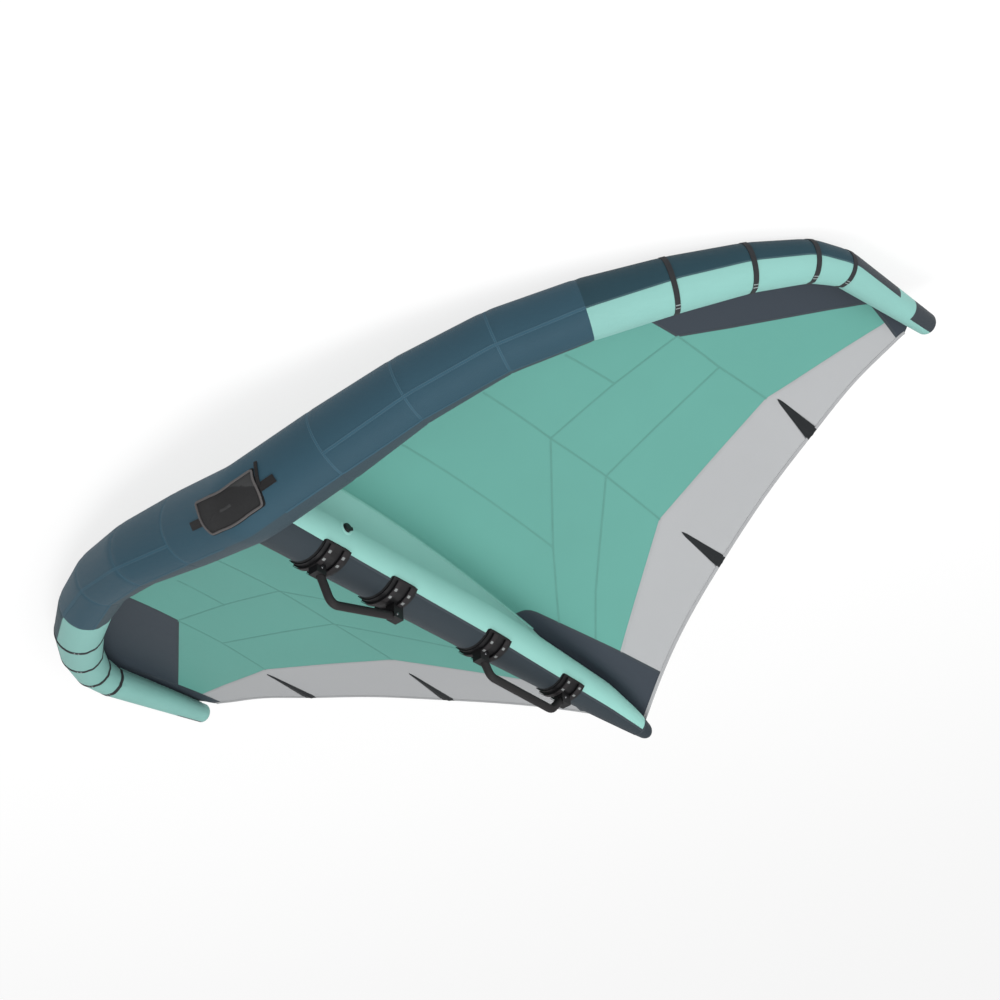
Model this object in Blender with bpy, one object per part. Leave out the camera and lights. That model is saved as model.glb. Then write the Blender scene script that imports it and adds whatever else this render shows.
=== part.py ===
"""A wingfoil wing, rigged and inflated, parked upside down on its leading edge.

The wing is drawn in its own construction frame: X to one side, Y aft along the strut, Z from the
canopy towards the handles, with the leading edge's middle at the origin. The whole wing hangs
from one empty, which tips it nose down until its outer leading edge tubes lie on the ground.
Lengths are metres. A value or table whose name ends in share or shares has no unit.
"""

import math

import bmesh
import bpy
import numpy as np
from mathutils import Matrix, Vector

# Clearances
GAP = 0.0003
SEAM_GAP = 0.0005

# Leading edge tube: middle line and radius at its sewn joints, from the middle out to the tip
HALF_SPAN = 1.577
LE_SWEEP = 1.308
LE_DROP = 0.471
LE_RADIUS = 0.1205
LE_SHARES = (
    (0.0, 0.0, 0.0, 1.0),
    (0.183, 0.039, 0.165, 0.98),
    (0.358, 0.064, 0.290, 0.872),
    (0.523, 0.131, 0.449, 0.794),
    (0.6655, 0.222, 0.560, 0.755),
    (0.792, 0.329, 0.666, 0.689),
    (0.8985, 0.447, 0.782, 0.602),
    (0.9725, 0.560, 0.872, 0.527),
    (0.9985, 0.649, 0.9095, 0.453),
    (1.0, 1.0, 1.0, 0.283),
)
CENTRE_END_STATION = 1
COLOUR_BREAK_STATION = 4
LE_BEND = 0.06
LE_WALL = 0.0015
LE_SIDES = 24
TIP_CAP_LENGTH = 0.0375
TIP_CAP_WALL = 0.002
TIP_CAP_CROWN_SHARE = 0.12

# Bladders inside the tubes
BLADDER_WALL = 0.0008
BLADDER_CLEARANCE = 0.0022
BLADDER_SIDES = 10
BLADDER_END = 0.03

# Trailing edge: how far its middle lies behind the tips, and its places across, along and down
TE_INSET = 0.077
TE_HALF_SPAN = HALF_SPAN - TE_INSET
TE_DEPTH = 0.532
CHORD = LE_SWEEP + TE_DEPTH
TE_RISE = 0.030
TE_TIP_DROP = 0.003
TE_DROP = LE_DROP + TE_RISE + TE_TIP_DROP
TE_SHARES = (
    (0.0, 1.0, 0.0),
    (0.1213, 0.7838, 0.139),
    (0.3953, 0.4190, 0.4365),
    (0.728, 0.1129, 0.758),
    (0.984, -0.0113, 0.988),
    (1.0, -0.0134, 1.0),
)
TE_FAN = 1.62

# Canopy sheet and its sewn panels
CANOPY_THICKNESS = 0.0012
CANOPY_SEAT_ANGLE = math.radians(65)
CAMBER_SHARE = 0.038
CAMBER_FORWARD = 0.75
STRUT_DIP = 0.018
STRUT_DIP_START_SHARE = 0.70
STRUT_DIP_WIDTH_SHARE = 0.03
BACK_SEAM_SHARES = (
    (0.0, 0.598),
    (0.0493, 0.6326),
    (0.0953, 0.842),
    (0.3847, 0.670),
    (0.7233, 0.618),
    (0.9913, 0.6615),
)
TIP_SEAM_SHARES = ((0.7153, 0.3865), (1.004, 0.602))
TIP_PANEL_START_SHARE = 0.490
TIP_PANEL_FRONT_SHARE = 0.025
TIP_PANEL_CORNER_SHARE = 0.514
DARK_PANEL_SHARE = 0.068
CORNER_PATCH_SHARE = 0.895
CANOPY_END_SHARE = 0.982
PANEL_ROWS = 5
SHORT_PANEL_ROWS = 3
PROBE_SHARE = 0.005
COLUMN_SHARES = (
    0.0, 0.037, DARK_PANEL_SHARE, 0.13, 0.195, 0.26, 0.33, 0.40, 0.445, TIP_PANEL_START_SHARE,
    TIP_PANEL_CORNER_SHARE, 0.536, 0.59, 0.65, 0.71, 0.77, 0.83, CORNER_PATCH_SHARE, 0.94,
    CANOPY_END_SHARE,
)
HEM_WIDTH = 0.012
HEM_THICKNESS = 0.0025

# Battens in the trailing edge and the wedge patches over their pockets
BATTEN_SHARES = (0.266, 0.551)
BATTEN_NAMES = ("inner", "outer")
BATTEN_LENGTH = 0.205
BATTEN_WIDTH = 0.010
BATTEN_THICKNESS = 0.0025
POCKET_LENGTH = 0.196
POCKET_BASE_WIDTH = 0.046
POCKET_POINT_WIDTH = 0.008
POCKET_THICKNESS = 0.0015

# Centre strut: its handle side is a straight line
TAIL_OVERHANG = 0.018
STRUT_LENGTH = CHORD + TAIL_OVERHANG
STRUT_TOP = 0.092
STRUT_RADIUS = 0.0925
STRUT_SHARES = ((0.0, 1.0), (0.54, 0.92), (0.668, 0.80), (0.862, 0.638), (0.955, 0.42), (1.0, 0.24))
STRUT_WALL = 0.0015
STRUT_FRONT_GAP = 0.0009
STRUT_START_SHARE = 1.9
BLADDER_START_SHARE = 1.65
STRUT_SIDES = 20
SLEEVE_COLUMNS = (8, 20)
SLEEVE_FRONT_ANGLE = math.radians(51)
SLEEVE_BACK_ANGLE = math.radians(30)
TAIL_CAP_LENGTH = 0.062
TAIL_CAP_WALL = 0.002
TAIL_CAP_STEPS = 3
TAIL_ROUND_START_SHARE = 0.7
TAIL_ROUND_SHARE = 0.35
WEB_SEAT_ANGLE = math.radians(120)
WEB_THICKNESS = 0.0012
WEB_FRONT_OFFSET = 0.086
WEB_BACK_OFFSET = 0.042
WEB_END = 1.16
WEB_CLEARANCE = 0.0025
WEB_COLUMNS = 4
WEB_FOOT_GAP = 0.006
WEB_STEPS = 7
NEAR_STRUT_SHARE = 0.2

# Handle brackets on the strut, and the two bent grips between them
BRACKET_PLACES = (0.290, 0.580, 1.020, 1.395)
BRACKET_LENGTH = 0.104
BRACKET_HALF_ANGLE = math.radians(54)
PATCH_LENGTH = 0.122
PATCH_HALF_ANGLE = math.radians(57)
PATCH_THICKNESS = 0.002
RIB_WIDTH = 0.017
RIB_THICKNESS = 0.007
RIB_SPACING = 0.056
RIB_SPAN_SHARE = 0.93
SADDLE_THICKNESS = 0.003
SADDLE_COLUMNS = 9
BOSS_WIDTH = 0.034
BOSS_LENGTH = 0.040
BOSS_HEIGHTS = (0.036, 0.052, 0.040, 0.040)
CORE_RADIUS = 0.0085
CORE_WALL = 0.0015
FOAM_RADIUS = 0.0135
CORE_CLEARANCE = 0.0004
CORE_SEAT_DEPTH = 0.016
GRIP_SIDES = 10
GRIP_BEND_RADIUS = 0.034
BEND_STEPS = 4
FRONT_GRIP_ROUTE = ((0.282, 0.118), (0.329, 0.209), (0.590, 0.137))
REAR_GRIP_ROUTE = ((1.008, 0.118), (1.041, 0.171), (1.335, 0.176), (1.386, 0.122))
SCREW_HEAD_RADIUS = 0.0045
SCREW_HEAD_HEIGHT = 0.0025
SCREW_CROWN_SHARE = 0.8
SCREW_SHANK_RADIUS = 0.002
SCREW_SHANK_LENGTH = 0.006
SCREW_SEAT_SHARE = 0.6
SCREW_SIDES = 8

# Front handle on the leading edge: angles are measured forward from the tube's handle side
FRONT_PATCH_HALF_WIDTH = 0.100
FRONT_PATCH_LOW_ANGLE = math.radians(26)
FRONT_PATCH_HIGH_ANGLE = math.radians(83)
FRONT_PATCH_THICKNESS = 0.002
FRONT_PATCH_COLUMNS = 6
FRONT_PATCH_ROWS = 5
PAD_HALF_WIDTH = 0.086
PAD_LOW_ANGLE = math.radians(30)
PAD_HIGH_ANGLE = math.radians(77)
PAD_THICKNESS = 0.006
PAD_LIFT = 0.002
PAD_SEAT_LENGTH = 0.016
PAD_COLUMNS = 10
PAD_ROWS = 4
TAB_LENGTH = 0.043
TAB_HALF_ANGLE = math.radians(6.5)
TAB_THICKNESS = 0.003
STRAP_HALF_WIDTH = 0.007
STRAP_END_ANGLE = math.radians(88)
STRAP_STEPS = 3

# Valves: a main one on the leading edge, and a smaller one of the same make on the strut
MAIN_VALVE_ARC = 0.270
MAIN_VALVE_ANGLE = math.radians(-8)
STRUT_VALVE_PLACE = 0.311
STRUT_VALVE_ANGLE = math.radians(97)
STRUT_VALVE_SHARE = 0.7
FLANGE_RADIUS = 0.0220
FLANGE_DEPTH = 0.0026
FLANGE_THICKNESS = 0.0015
BODY_RADIUS = 0.0200
NECK_RADIUS = 0.0160
NECK_DEPTH = 0.0140
MAIN_BODY_HEIGHT = 0.0145
STRUT_BODY_HEIGHT = 0.0090
MOUTH_RADIUS = 0.0150
FLAP_BORE_RADIUS = 0.0125
SEAT_RADIUS = 0.0090
SEAT_DEPTH = 0.0040
SEAT_THICKNESS = 0.0020
KEEPER_RADIUS = 0.0105
KEEPER_THICKNESS = 0.0015
FLAP_RADIUS = 0.0117
FLAP_THICKNESS = 0.0018
FLAP_CLEARANCE = 0.0004
CAP_RADIUS = 0.0172
CAP_THICKNESS = 0.0030
PLUG_RADIUS = 0.0122
PLUG_DEPTH = 0.0045
HINGE_OFFSET = 0.0250
HINGE_PIN_RADIUS = 0.0010
HINGE_BARREL_RADIUS = 0.0024
HINGE_BARREL_LENGTH = 0.0080
HINGE_CLEARANCE = 0.0003
LUG_THICKNESS = 0.0025
LUG_RADIUS = 0.0024
PIN_SIDES = 10
PIN_BORE_SIDES = 12
BARREL_SIDES = 16
TURNED_SIDES = 18

# How it lies on the ground
REST_PITCH = math.radians(12.6)

OVERRUN = 0.004
TAU = 2 * math.pi


# Mesh building

def clear_scene():
    for obj in list(bpy.data.objects):
        bpy.data.objects.remove(obj, do_unlink=True)


def make_material(name, colour, roughness, metallic=0.0):
    material = bpy.data.materials.new(name)
    material.use_nodes = True
    shader = material.node_tree.nodes["Principled BSDF"]
    shader.inputs["Base Color"].default_value = (*colour, 1.0)
    shader.inputs["Roughness"].default_value = roughness
    shader.inputs["Metallic"].default_value = metallic
    material.diffuse_color = (*colour, 1.0)
    return material


def add_object(name, verts, faces, material, smooth_angle=35, matrix=None, helper=False):
    """One object under the rest frame, its faces turned outwards."""
    mesh = bpy.data.meshes.new(name)
    mesh.from_pydata([tuple(v) for v in verts], [], faces)
    work = bmesh.new()
    work.from_mesh(mesh)
    bmesh.ops.recalc_face_normals(work, faces=work.faces)
    work.to_mesh(mesh)
    work.free()
    mesh.shade_smooth()
    mesh.set_sharp_from_angle(angle=math.radians(smooth_angle))
    if material is not None:
        mesh.materials.append(material)
    obj = bpy.data.objects.new(name, mesh)
    bpy.context.scene.collection.objects.link(obj)
    obj.parent = REST_FRAME
    if matrix is not None:
        obj.matrix_local = matrix
    if helper:
        obj.hide_render = True
        obj.display_type = "WIRE"
    return obj


def split_quad(points, quad):
    """A four-sided face as two triangles about its shorter diagonal."""
    a, b, c, d = quad
    first = np.linalg.norm(np.subtract(points[a], points[c]))
    second = np.linalg.norm(np.subtract(points[b], points[d]))
    if first <= second:
        return [(a, b, c), (a, c, d)]
    return [(a, b, d), (b, c, d)]


def loft(rings, closed_path=False):
    """A body through rings of equal count: capped at both ends, or closed end to end."""
    sides = len(rings[0])
    verts = [tuple(p) for ring in rings for p in ring]
    faces = []
    spans = len(rings) if closed_path else len(rings) - 1
    for k in range(spans):
        a = k * sides
        b = ((k + 1) % len(rings)) * sides
        for i in range(sides):
            j = (i + 1) % sides
            faces.extend(split_quad(verts, (a + i, a + j, b + j, b + i)))
    if not closed_path:
        faces.append(tuple(range(sides)))
        faces.append(tuple((len(rings) - 1) * sides + i for i in range(sides)))
    return verts, faces


def sheet(grid, thickness):
    """A thick sheet about a grid of points, given as rows of columns."""
    points = np.array(grid, float)
    across = np.gradient(points, axis=1)
    along = np.gradient(points, axis=0)
    normal = np.cross(along, across)
    normal /= np.linalg.norm(normal, axis=2, keepdims=True)
    rows, columns = points.shape[:2]
    upper = points + normal * thickness / 2
    lower = points - normal * thickness / 2
    verts = [tuple(p) for p in upper.reshape(-1, 3)] + [tuple(p) for p in lower.reshape(-1, 3)]
    other = rows * columns
    middle = points.reshape(-1, 3)
    faces = []
    for i in range(rows - 1):
        for j in range(columns - 1):
            a = i * columns + j
            for triangle in split_quad(middle, (a, a + 1, a + columns + 1, a + columns)):
                faces.append(triangle)
                faces.append(tuple(other + k for k in reversed(triangle)))
    edge = [j for j in range(columns)]
    edge += [i * columns + columns - 1 for i in range(1, rows)]
    edge += [(rows - 1) * columns + j for j in range(columns - 2, -1, -1)]
    edge += [i * columns for i in range(rows - 2, 0, -1)]
    for k, a in enumerate(edge):
        b = edge[(k + 1) % len(edge)]
        faces.append((a, b, other + b, other + a))
    return verts, faces


def turned(profile, sides=TURNED_SIDES):
    """A closed outline of (radius, height) points turned about the local Z axis."""
    rings = []
    for radius, height in profile:
        ring = []
        for i in range(sides):
            angle = TAU * i / sides
            ring.append((radius * math.cos(angle), radius * math.sin(angle), height))
        rings.append(ring)
    return loft(rings, closed_path=True)


def rod(radius, start, end, sides):
    """A plain cylinder between two points."""
    start = np.array(start, float)
    end = np.array(end, float)
    axis = (end - start) / np.linalg.norm(end - start)
    side = np.cross(axis, (0.0, 0.0, 1.0))
    if np.linalg.norm(side) < 0.1:
        side = np.cross(axis, (0.0, 1.0, 0.0))
    side /= np.linalg.norm(side)
    other = np.cross(axis, side)
    rings = []
    for centre in (start, end):
        ring = []
        for i in range(sides):
            angle = TAU * i / sides
            ring.append(centre + radius * (math.cos(angle) * side + math.sin(angle) * other))
        rings.append(ring)
    return loft(rings)


def block(low, high):
    x0, y0, z0 = low
    x1, y1, z1 = high
    rings = [
        [(x0, y0, z0), (x1, y0, z0), (x1, y1, z0), (x0, y1, z0)],
        [(x0, y0, z1), (x1, y0, z1), (x1, y1, z1), (x0, y1, z1)],
    ]
    return loft(rings)


def swept(path, radius, sides, start_direction=None, end_direction=None):
    """Rings of a round tube along a path of points."""
    points = np.array(path, float)
    tangents = np.gradient(points, axis=0)
    if start_direction is not None:
        tangents[0] = start_direction
    if end_direction is not None:
        tangents[-1] = end_direction
    tangents /= np.linalg.norm(tangents, axis=1, keepdims=True)
    side = np.cross(tangents[0], (1.0, 0.0, 0.0))
    if np.linalg.norm(side) < 0.2:
        side = np.cross(tangents[0], (0.0, 1.0, 0.0))
    rings = []
    for centre, tangent in zip(points, tangents):
        side = side - tangent * side.dot(tangent)
        side /= np.linalg.norm(side)
        other = np.cross(tangent, side)
        ring = []
        for i in range(sides):
            angle = TAU * i / sides
            ring.append(centre + radius * (math.cos(angle) * side + math.sin(angle) * other))
        rings.append(ring)
    return rings


def combine(obj, others, operation):
    """Boolean modifiers on one object, with each other object kept as a hidden helper."""
    for number, other in enumerate(others):
        modifier = obj.modifiers.new(f"{operation.lower()}_{number}", "BOOLEAN")
        modifier.operation = operation
        modifier.object = other
        modifier.solver = "EXACT"
    return obj


def helper(name, body, matrix=None):
    return add_object(name, body[0], body[1], None, matrix=matrix, helper=True)


def placed(origin, x_axis, z_axis):
    """A local frame from its origin, its X axis and its Z axis."""
    z = Vector(z_axis).normalized()
    x = Vector(x_axis)
    x = (x - z * x.dot(z)).normalized()
    y = z.cross(x)
    matrix = Matrix((x, y, z)).transposed().to_4x4()
    matrix.translation = Vector(origin)
    return matrix


# Leading edge and trailing edge lines

STATIONS = np.array([(HALF_SPAN * x, LE_SWEEP * y, -LE_DROP * z) for x, y, z, _ in LE_SHARES])
STATION_RADII = np.array([LE_RADIUS * r for *_, r in LE_SHARES])
ARC = np.concatenate([[0.0], np.cumsum(np.linalg.norm(np.diff(STATIONS, axis=0), axis=1))])
LE_LENGTH = float(ARC[-1])
MIRROR = np.array([-1.0, 1.0, 1.0])


def le_centre(arc):
    """Middle line of the leading edge at a signed distance along it from the wing's middle."""
    point = np.array([np.interp(abs(arc), ARC, STATIONS[:, k]) for k in range(3)])
    return point * MIRROR if arc < 0 else point


def le_radius(arc):
    return float(np.interp(abs(arc), ARC, STATION_RADII))


def le_tangent(arc):
    ahead = le_centre(min(arc + LE_BEND, LE_LENGTH))
    behind = le_centre(max(arc - LE_BEND, -LE_LENGTH))
    tangent = ahead - behind
    return tangent / np.linalg.norm(tangent)


TE_TABLE = np.array(
    [(TE_HALF_SPAN * x, LE_SWEEP + TE_DEPTH * y, TE_RISE - TE_DROP * z) for x, y, z in TE_SHARES]
)


def spline_bends(knots, values):
    """Second derivatives of the natural cubic through the values at the knots."""
    count = len(knots)
    step = np.diff(knots)
    matrix = np.eye(count)
    right = np.zeros(count)
    for i in range(1, count - 1):
        matrix[i, i - 1] = step[i - 1]
        matrix[i, i] = 2 * (step[i - 1] + step[i])
        matrix[i, i + 1] = step[i]
        slope_after = (values[i + 1] - values[i]) / step[i]
        slope_before = (values[i] - values[i - 1]) / step[i - 1]
        right[i] = 6 * (slope_after - slope_before)
    return np.linalg.solve(matrix, right)


TE_BENDS = [spline_bends(TE_TABLE[:, 0], TE_TABLE[:, k]) for k in (1, 2)]


def te_value(column, x):
    """One coordinate of the trailing edge at a distance from the middle."""
    knots = TE_TABLE[:, 0]
    values = TE_TABLE[:, column]
    bends = TE_BENDS[column - 1]
    i = int(np.clip(np.searchsorted(knots, x) - 1, 0, len(knots) - 2))
    h = knots[i + 1] - knots[i]
    a = (knots[i + 1] - x) / h
    b = (x - knots[i]) / h
    bend = ((a**3 - a) * bends[i] + (b**3 - b) * bends[i + 1]) * h * h / 6
    return a * values[i] + b * values[i + 1] + bend


def te_point(share):
    """Trailing edge point that belongs to a share of the leading edge's length."""
    x = TE_HALF_SPAN * (1 - (1 - share) ** TE_FAN)
    return np.array([x, te_value(1, x), te_value(2, x)])


def le_frame(arc):
    """Across-the-tube axes at a place on the leading edge: towards the canopy, and down."""
    tangent = le_tangent(abs(arc))
    aft = te_point(abs(arc) / LE_LENGTH) - le_centre(abs(arc))
    aft -= tangent * aft.dot(tangent)
    aft /= np.linalg.norm(aft)
    down = np.cross(aft, tangent)
    if down[2] > 0:
        down = -down
    if arc < 0:
        return aft * MIRROR, down * MIRROR
    return aft, down


def le_surface(arc, angle, offset=0.0):
    """A point on the leading edge tube: the angle turns from aft towards the canopy's side.

    Each stretch between two joints is a straight cone, so a spoke that leans along it at a joint
    is longer than the radius.
    """
    aft, down = le_frame(arc)
    spoke = math.cos(angle) * aft + math.sin(angle) * down
    number = int(np.clip(np.searchsorted(ARC, abs(arc), side="right") - 1, 0, len(ARC) - 2))
    stretch = STATIONS[number + 1] - STATIONS[number]
    stretch = stretch / np.linalg.norm(stretch)
    if arc < 0:
        stretch = stretch * MIRROR
    lean = float(spoke.dot(stretch))
    reach = (le_radius(arc) + offset) / math.sqrt(1 - lean * lean)
    return le_centre(arc) + reach * spoke


def le_ring(arc, offset, sides):
    return [le_surface(arc, TAU * i / sides, offset) for i in range(sides)]


def ring_places(start, end):
    """Places of a tube's rings: its two ends and each sewn joint between them."""
    places = {start, end}
    for mark in np.concatenate([-ARC[::-1], ARC]):
        if start + LE_BEND / 2 < mark < end - LE_BEND / 2:
            places.add(float(mark))
    return sorted(places)


def bore_radius(radius, clearance, sides):
    """Radius of a faceted bore whose flats stay clear of a round piece inside it."""
    return (radius + clearance) / math.cos(math.pi / sides)


def facet_lift(radius, step):
    """Extra stand for a piece bent in flat facets round a tube, so that no facet dips in."""
    return radius * (1 - math.cos(step / 2))


# Canopy surface

def canopy_seat(share):
    """Where the canopy leaves the leading edge, at a share of the tube's length."""
    stand = GAP + CANOPY_THICKNESS / 2
    return le_surface(share * LE_LENGTH, CANOPY_SEAT_ANGLE, stand)


def canopy_point(share, chord_share):
    front = canopy_seat(share)
    back = te_point(share)
    chord = np.linalg.norm(back - front)
    point = front + (back - front) * chord_share
    point[2] -= CAMBER_SHARE * chord * math.sin(math.pi * chord_share**CAMBER_FORWARD)
    point[2] -= strut_dip(share, chord_share)
    return point


def strut_dip(share, chord_share):
    """How far the canopy is drawn down round the strut's tail."""
    if chord_share < STRUT_DIP_START_SHARE or share > STRUT_DIP_WIDTH_SHARE:
        return 0.0
    run = (chord_share - STRUT_DIP_START_SHARE) / (1 - STRUT_DIP_START_SHARE)
    return STRUT_DIP * math.sin(math.pi * run) * (1 - (share / STRUT_DIP_WIDTH_SHARE) ** 2)


def canopy_chord(share):
    return float(np.linalg.norm(te_point(share) - canopy_seat(share)))


def seam_share(share, seam):
    """Chord share at which the chord line crosses a seam drawn in plan."""
    front = canopy_seat(share)[:2]
    back = te_point(share)[:2]
    points = [np.array([TE_HALF_SPAN * x, CHORD * y]) for x, y in seam]
    best = None
    for k in range(len(points) - 1):
        edge = points[k + 1] - points[k]
        matrix = np.array([back - front, -edge]).T
        if abs(np.linalg.det(matrix)) < 1e-9:
            continue
        along, across = np.linalg.solve(matrix, points[k] - front)
        first_ok = across >= 0 or k == 0
        last_ok = across <= 1 or k == len(points) - 2
        if first_ok and last_ok:
            miss = max(0.0, -across, across - 1)
            if best is None or miss < best[0]:
                best = (miss, along)
    return float(np.clip(best[1], 0.0, 1.0))


def front_limit(share):
    """Front border of the main panel: the leading edge, then the dark tip panel's seam."""
    if share < TIP_PANEL_START_SHARE:
        return 0.0
    corner = seam_share(TIP_PANEL_CORNER_SHARE, TIP_SEAM_SHARES)
    if share < TIP_PANEL_CORNER_SHARE:
        span = TIP_PANEL_CORNER_SHARE - TIP_PANEL_START_SHARE
        step = (share - TIP_PANEL_START_SHARE) / span
        rise = TIP_PANEL_FRONT_SHARE + (1 - TIP_PANEL_FRONT_SHARE) * step
        return corner * rise
    return seam_share(share, TIP_SEAM_SHARES)


def back_limit(share):
    return seam_share(share, BACK_SEAM_SHARES)


def at_seat(share):
    return 0.0


def edge_limit(share):
    """Back border of the panels that reach the hem."""
    return 1.0 - HEM_WIDTH / canopy_chord(share)


def side_spacing(share, chord_share):
    """Distance across the canopy for each unit of share, at one place."""
    near = canopy_point(share, chord_share)
    far = canopy_point(share + PROBE_SHARE, chord_share)
    return float(np.linalg.norm(far - near)) / PROBE_SHARE


def seam_margin(limit, column):
    """Half a seam's gap as measured along the chord, wider where the seam runs along the chord."""
    share = COLUMN_SHARES[column]
    slope = 0.0
    for other in (column - 1, column + 1):
        if 0 <= other < len(COLUMN_SHARES):
            near = limit(share) * canopy_chord(share)
            far = limit(COLUMN_SHARES[other]) * canopy_chord(COLUMN_SHARES[other])
            across = abs(COLUMN_SHARES[other] - share) * side_spacing(share, limit(share))
            slope = max(slope, abs(far - near) / across)
    return SEAM_GAP / 2 * math.sqrt(1 + slope * slope)


def panel_grid(first, last, low, high, rows, side):
    """Points of one panel between two shares of the span and two borders along the chord."""
    grid = []
    for column, mark in enumerate(COLUMN_SHARES):
        if not first <= mark <= last:
            continue
        front_margin = seam_margin(low, column) if low is not at_seat else 0.0
        back_margin = seam_margin(high, column)
        chord = canopy_chord(mark)
        line = []
        for j in range(rows + 1):
            front = low(mark) + front_margin / chord
            back = high(mark) - back_margin / chord
            down = front + (back - front) * j / rows
            share = mark
            if mark == first:
                share = mark + SEAM_GAP / 2 / side_spacing(mark, down)
            elif mark == last and last < CANOPY_END_SHARE:
                share = mark - SEAM_GAP / 2 / side_spacing(mark, down)
            point = canopy_point(share, down)
            line.append(point if side > 0 else point * MIRROR)
        grid.append(line)
    return grid


# Strut surface

STRUT_KNOTS = np.array([STRUT_LENGTH * y for y, _ in STRUT_SHARES])
STRUT_RADII = np.array([STRUT_RADIUS * r for _, r in STRUT_SHARES])


def strut_radius(place):
    return float(np.interp(place, STRUT_KNOTS, STRUT_RADII))


def strut_centre(place):
    return np.array([0.0, place, STRUT_TOP - strut_radius(place)])


def strut_point(place, angle, offset=0.0):
    """A point on the strut: the angle turns from the handle side towards +X."""
    radius = strut_radius(place)
    reach = radius + offset
    height = STRUT_TOP - radius + reach * math.cos(angle)
    return np.array([reach * math.sin(angle), place, height])


def strut_front(x, z, clearance):
    """Distance aft at which a line through (x, z) comes clear of the leading edge tube."""
    low, high = 0.0, STRUT_RADIUS * 3
    for _ in range(40):
        place = (low + high) / 2
        probe = np.array([abs(x), place, z])
        first, second = STATIONS[0], STATIONS[1]
        edge = second - first
        along = (probe - first).dot(edge) / edge.dot(edge)
        reach = STATION_RADII[0] + (STATION_RADII[1] - STATION_RADII[0]) * along
        if np.linalg.norm(probe - first - edge * along) > reach + clearance:
            high = place
        else:
            low = place
    return high


def strut_front_point(angle, offset, thickness):
    """A point of a strut piece's front edge, clear of the leading edge through its thickness."""
    place = STRUT_RADIUS
    for _ in range(4):
        faces = [strut_point(place, angle, offset + k * thickness / 2) for k in (-1, 1)]
        place = max(strut_front(face[0], face[2], STRUT_FRONT_GAP) for face in faces)
    return strut_point(place, angle, offset)


def sleeve_angle(place):
    share = min(max(place / STRUT_LENGTH, 0.0), 1.0)
    return SLEEVE_FRONT_ANGLE + (SLEEVE_BACK_ANGLE - SLEEVE_FRONT_ANGLE) * share


# Leading edge pieces

def tube_shell(start, end, offset, wall, sides, closed_end):
    """A hollow tube along the leading edge, open at both ends or closed at its far end."""
    places = ring_places(min(start, end), max(start, end))
    if end < start:
        places = places[::-1]
    outer = [le_ring(place, offset, sides) for place in places]
    if not closed_end:
        inner = [le_ring(place, offset - wall, sides) for place in reversed(places)]
        return loft(outer + inner, closed_path=True)
    inner_places = places[:-1] + [end - math.copysign(wall, end)]
    inner = [le_ring(place, offset - wall, sides) for place in reversed(inner_places)]
    return loft(inner + outer)


def valve_frame(kind):
    if kind == "main":
        origin = le_surface(MAIN_VALVE_ARC, MAIN_VALVE_ANGLE)
        normal = origin - le_centre(MAIN_VALVE_ARC)
        return placed(origin, le_tangent(MAIN_VALVE_ARC), normal)
    origin = strut_point(STRUT_VALVE_PLACE, -STRUT_VALVE_ANGLE)
    normal = origin - strut_centre(STRUT_VALVE_PLACE)
    return placed(origin, (0.0, 1.0, 0.0), normal) @ Matrix.Scale(STRUT_VALVE_SHARE, 4)


def hole_cutter(name, radius, frame):
    depth = LE_RADIUS / 3
    body = rod(radius, (0.0, 0.0, -depth), (0.0, 0.0, OVERRUN), TURNED_SIDES)
    return helper(name, body, frame)


def build_leading_edge():
    """The tube's cloth, a node for each length between the joints that are sewn right round."""
    half = SEAM_GAP / 2
    first_arc = float(ARC[CENTRE_END_STATION])
    break_arc = float(ARC[COLOUR_BREAK_STATION])
    middle = tube_shell(half - first_arc, first_arc - half, 0.0, LE_WALL, LE_SIDES, False)
    casing = add_object("le_casing_centre", *middle, TEAL_CLOTH)
    radius = bore_radius(FLANGE_RADIUS, GAP, TURNED_SIDES)
    valve_hole = hole_cutter("casing_valve_hole", radius, valve_frame("main"))
    combine(casing, [valve_hole], "DIFFERENCE")
    for side, name in ((1, "left"), (-1, "right")):
        start = side * (first_arc + half)
        end = side * (break_arc - half)
        inner = tube_shell(start, end, 0.0, LE_WALL, LE_SIDES, False)
        add_object(f"le_casing_inner_{name}", *inner, TEAL_CLOTH)
        start = side * (break_arc + half)
        body = tube_shell(start, side * LE_LENGTH, 0.0, LE_WALL, LE_SIDES, True)
        add_object(f"le_casing_{name}", *body, MINT_CLOTH)
        add_object(f"le_tip_cap_{name}", *tip_cap_body(side), DARK_CLOTH)
    build_le_bladder()


def tip_cap_body(side):
    """A cup over the end of the tube, open along the canopy's edge by being cut short of it."""
    end = side * LE_LENGTH
    start = end - side * TIP_CAP_LENGTH
    outer = [le_ring(start, GAP + TIP_CAP_WALL, LE_SIDES)]
    outer.append(le_ring(end, GAP + TIP_CAP_WALL, LE_SIDES))
    tangent = le_tangent(end)
    over = side * (GAP + TIP_CAP_WALL) * tangent
    crown = TIP_CAP_CROWN_SHARE
    inset = [p + over - (p - le_centre(end)) * crown for p in np.array(outer[-1])]
    inner_start = le_ring(start, GAP, LE_SIDES)
    inner_end = [p + side * GAP * tangent for p in np.array(le_ring(end, GAP, LE_SIDES))]
    return loft([inner_end, inner_start] + outer + [inset])


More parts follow.
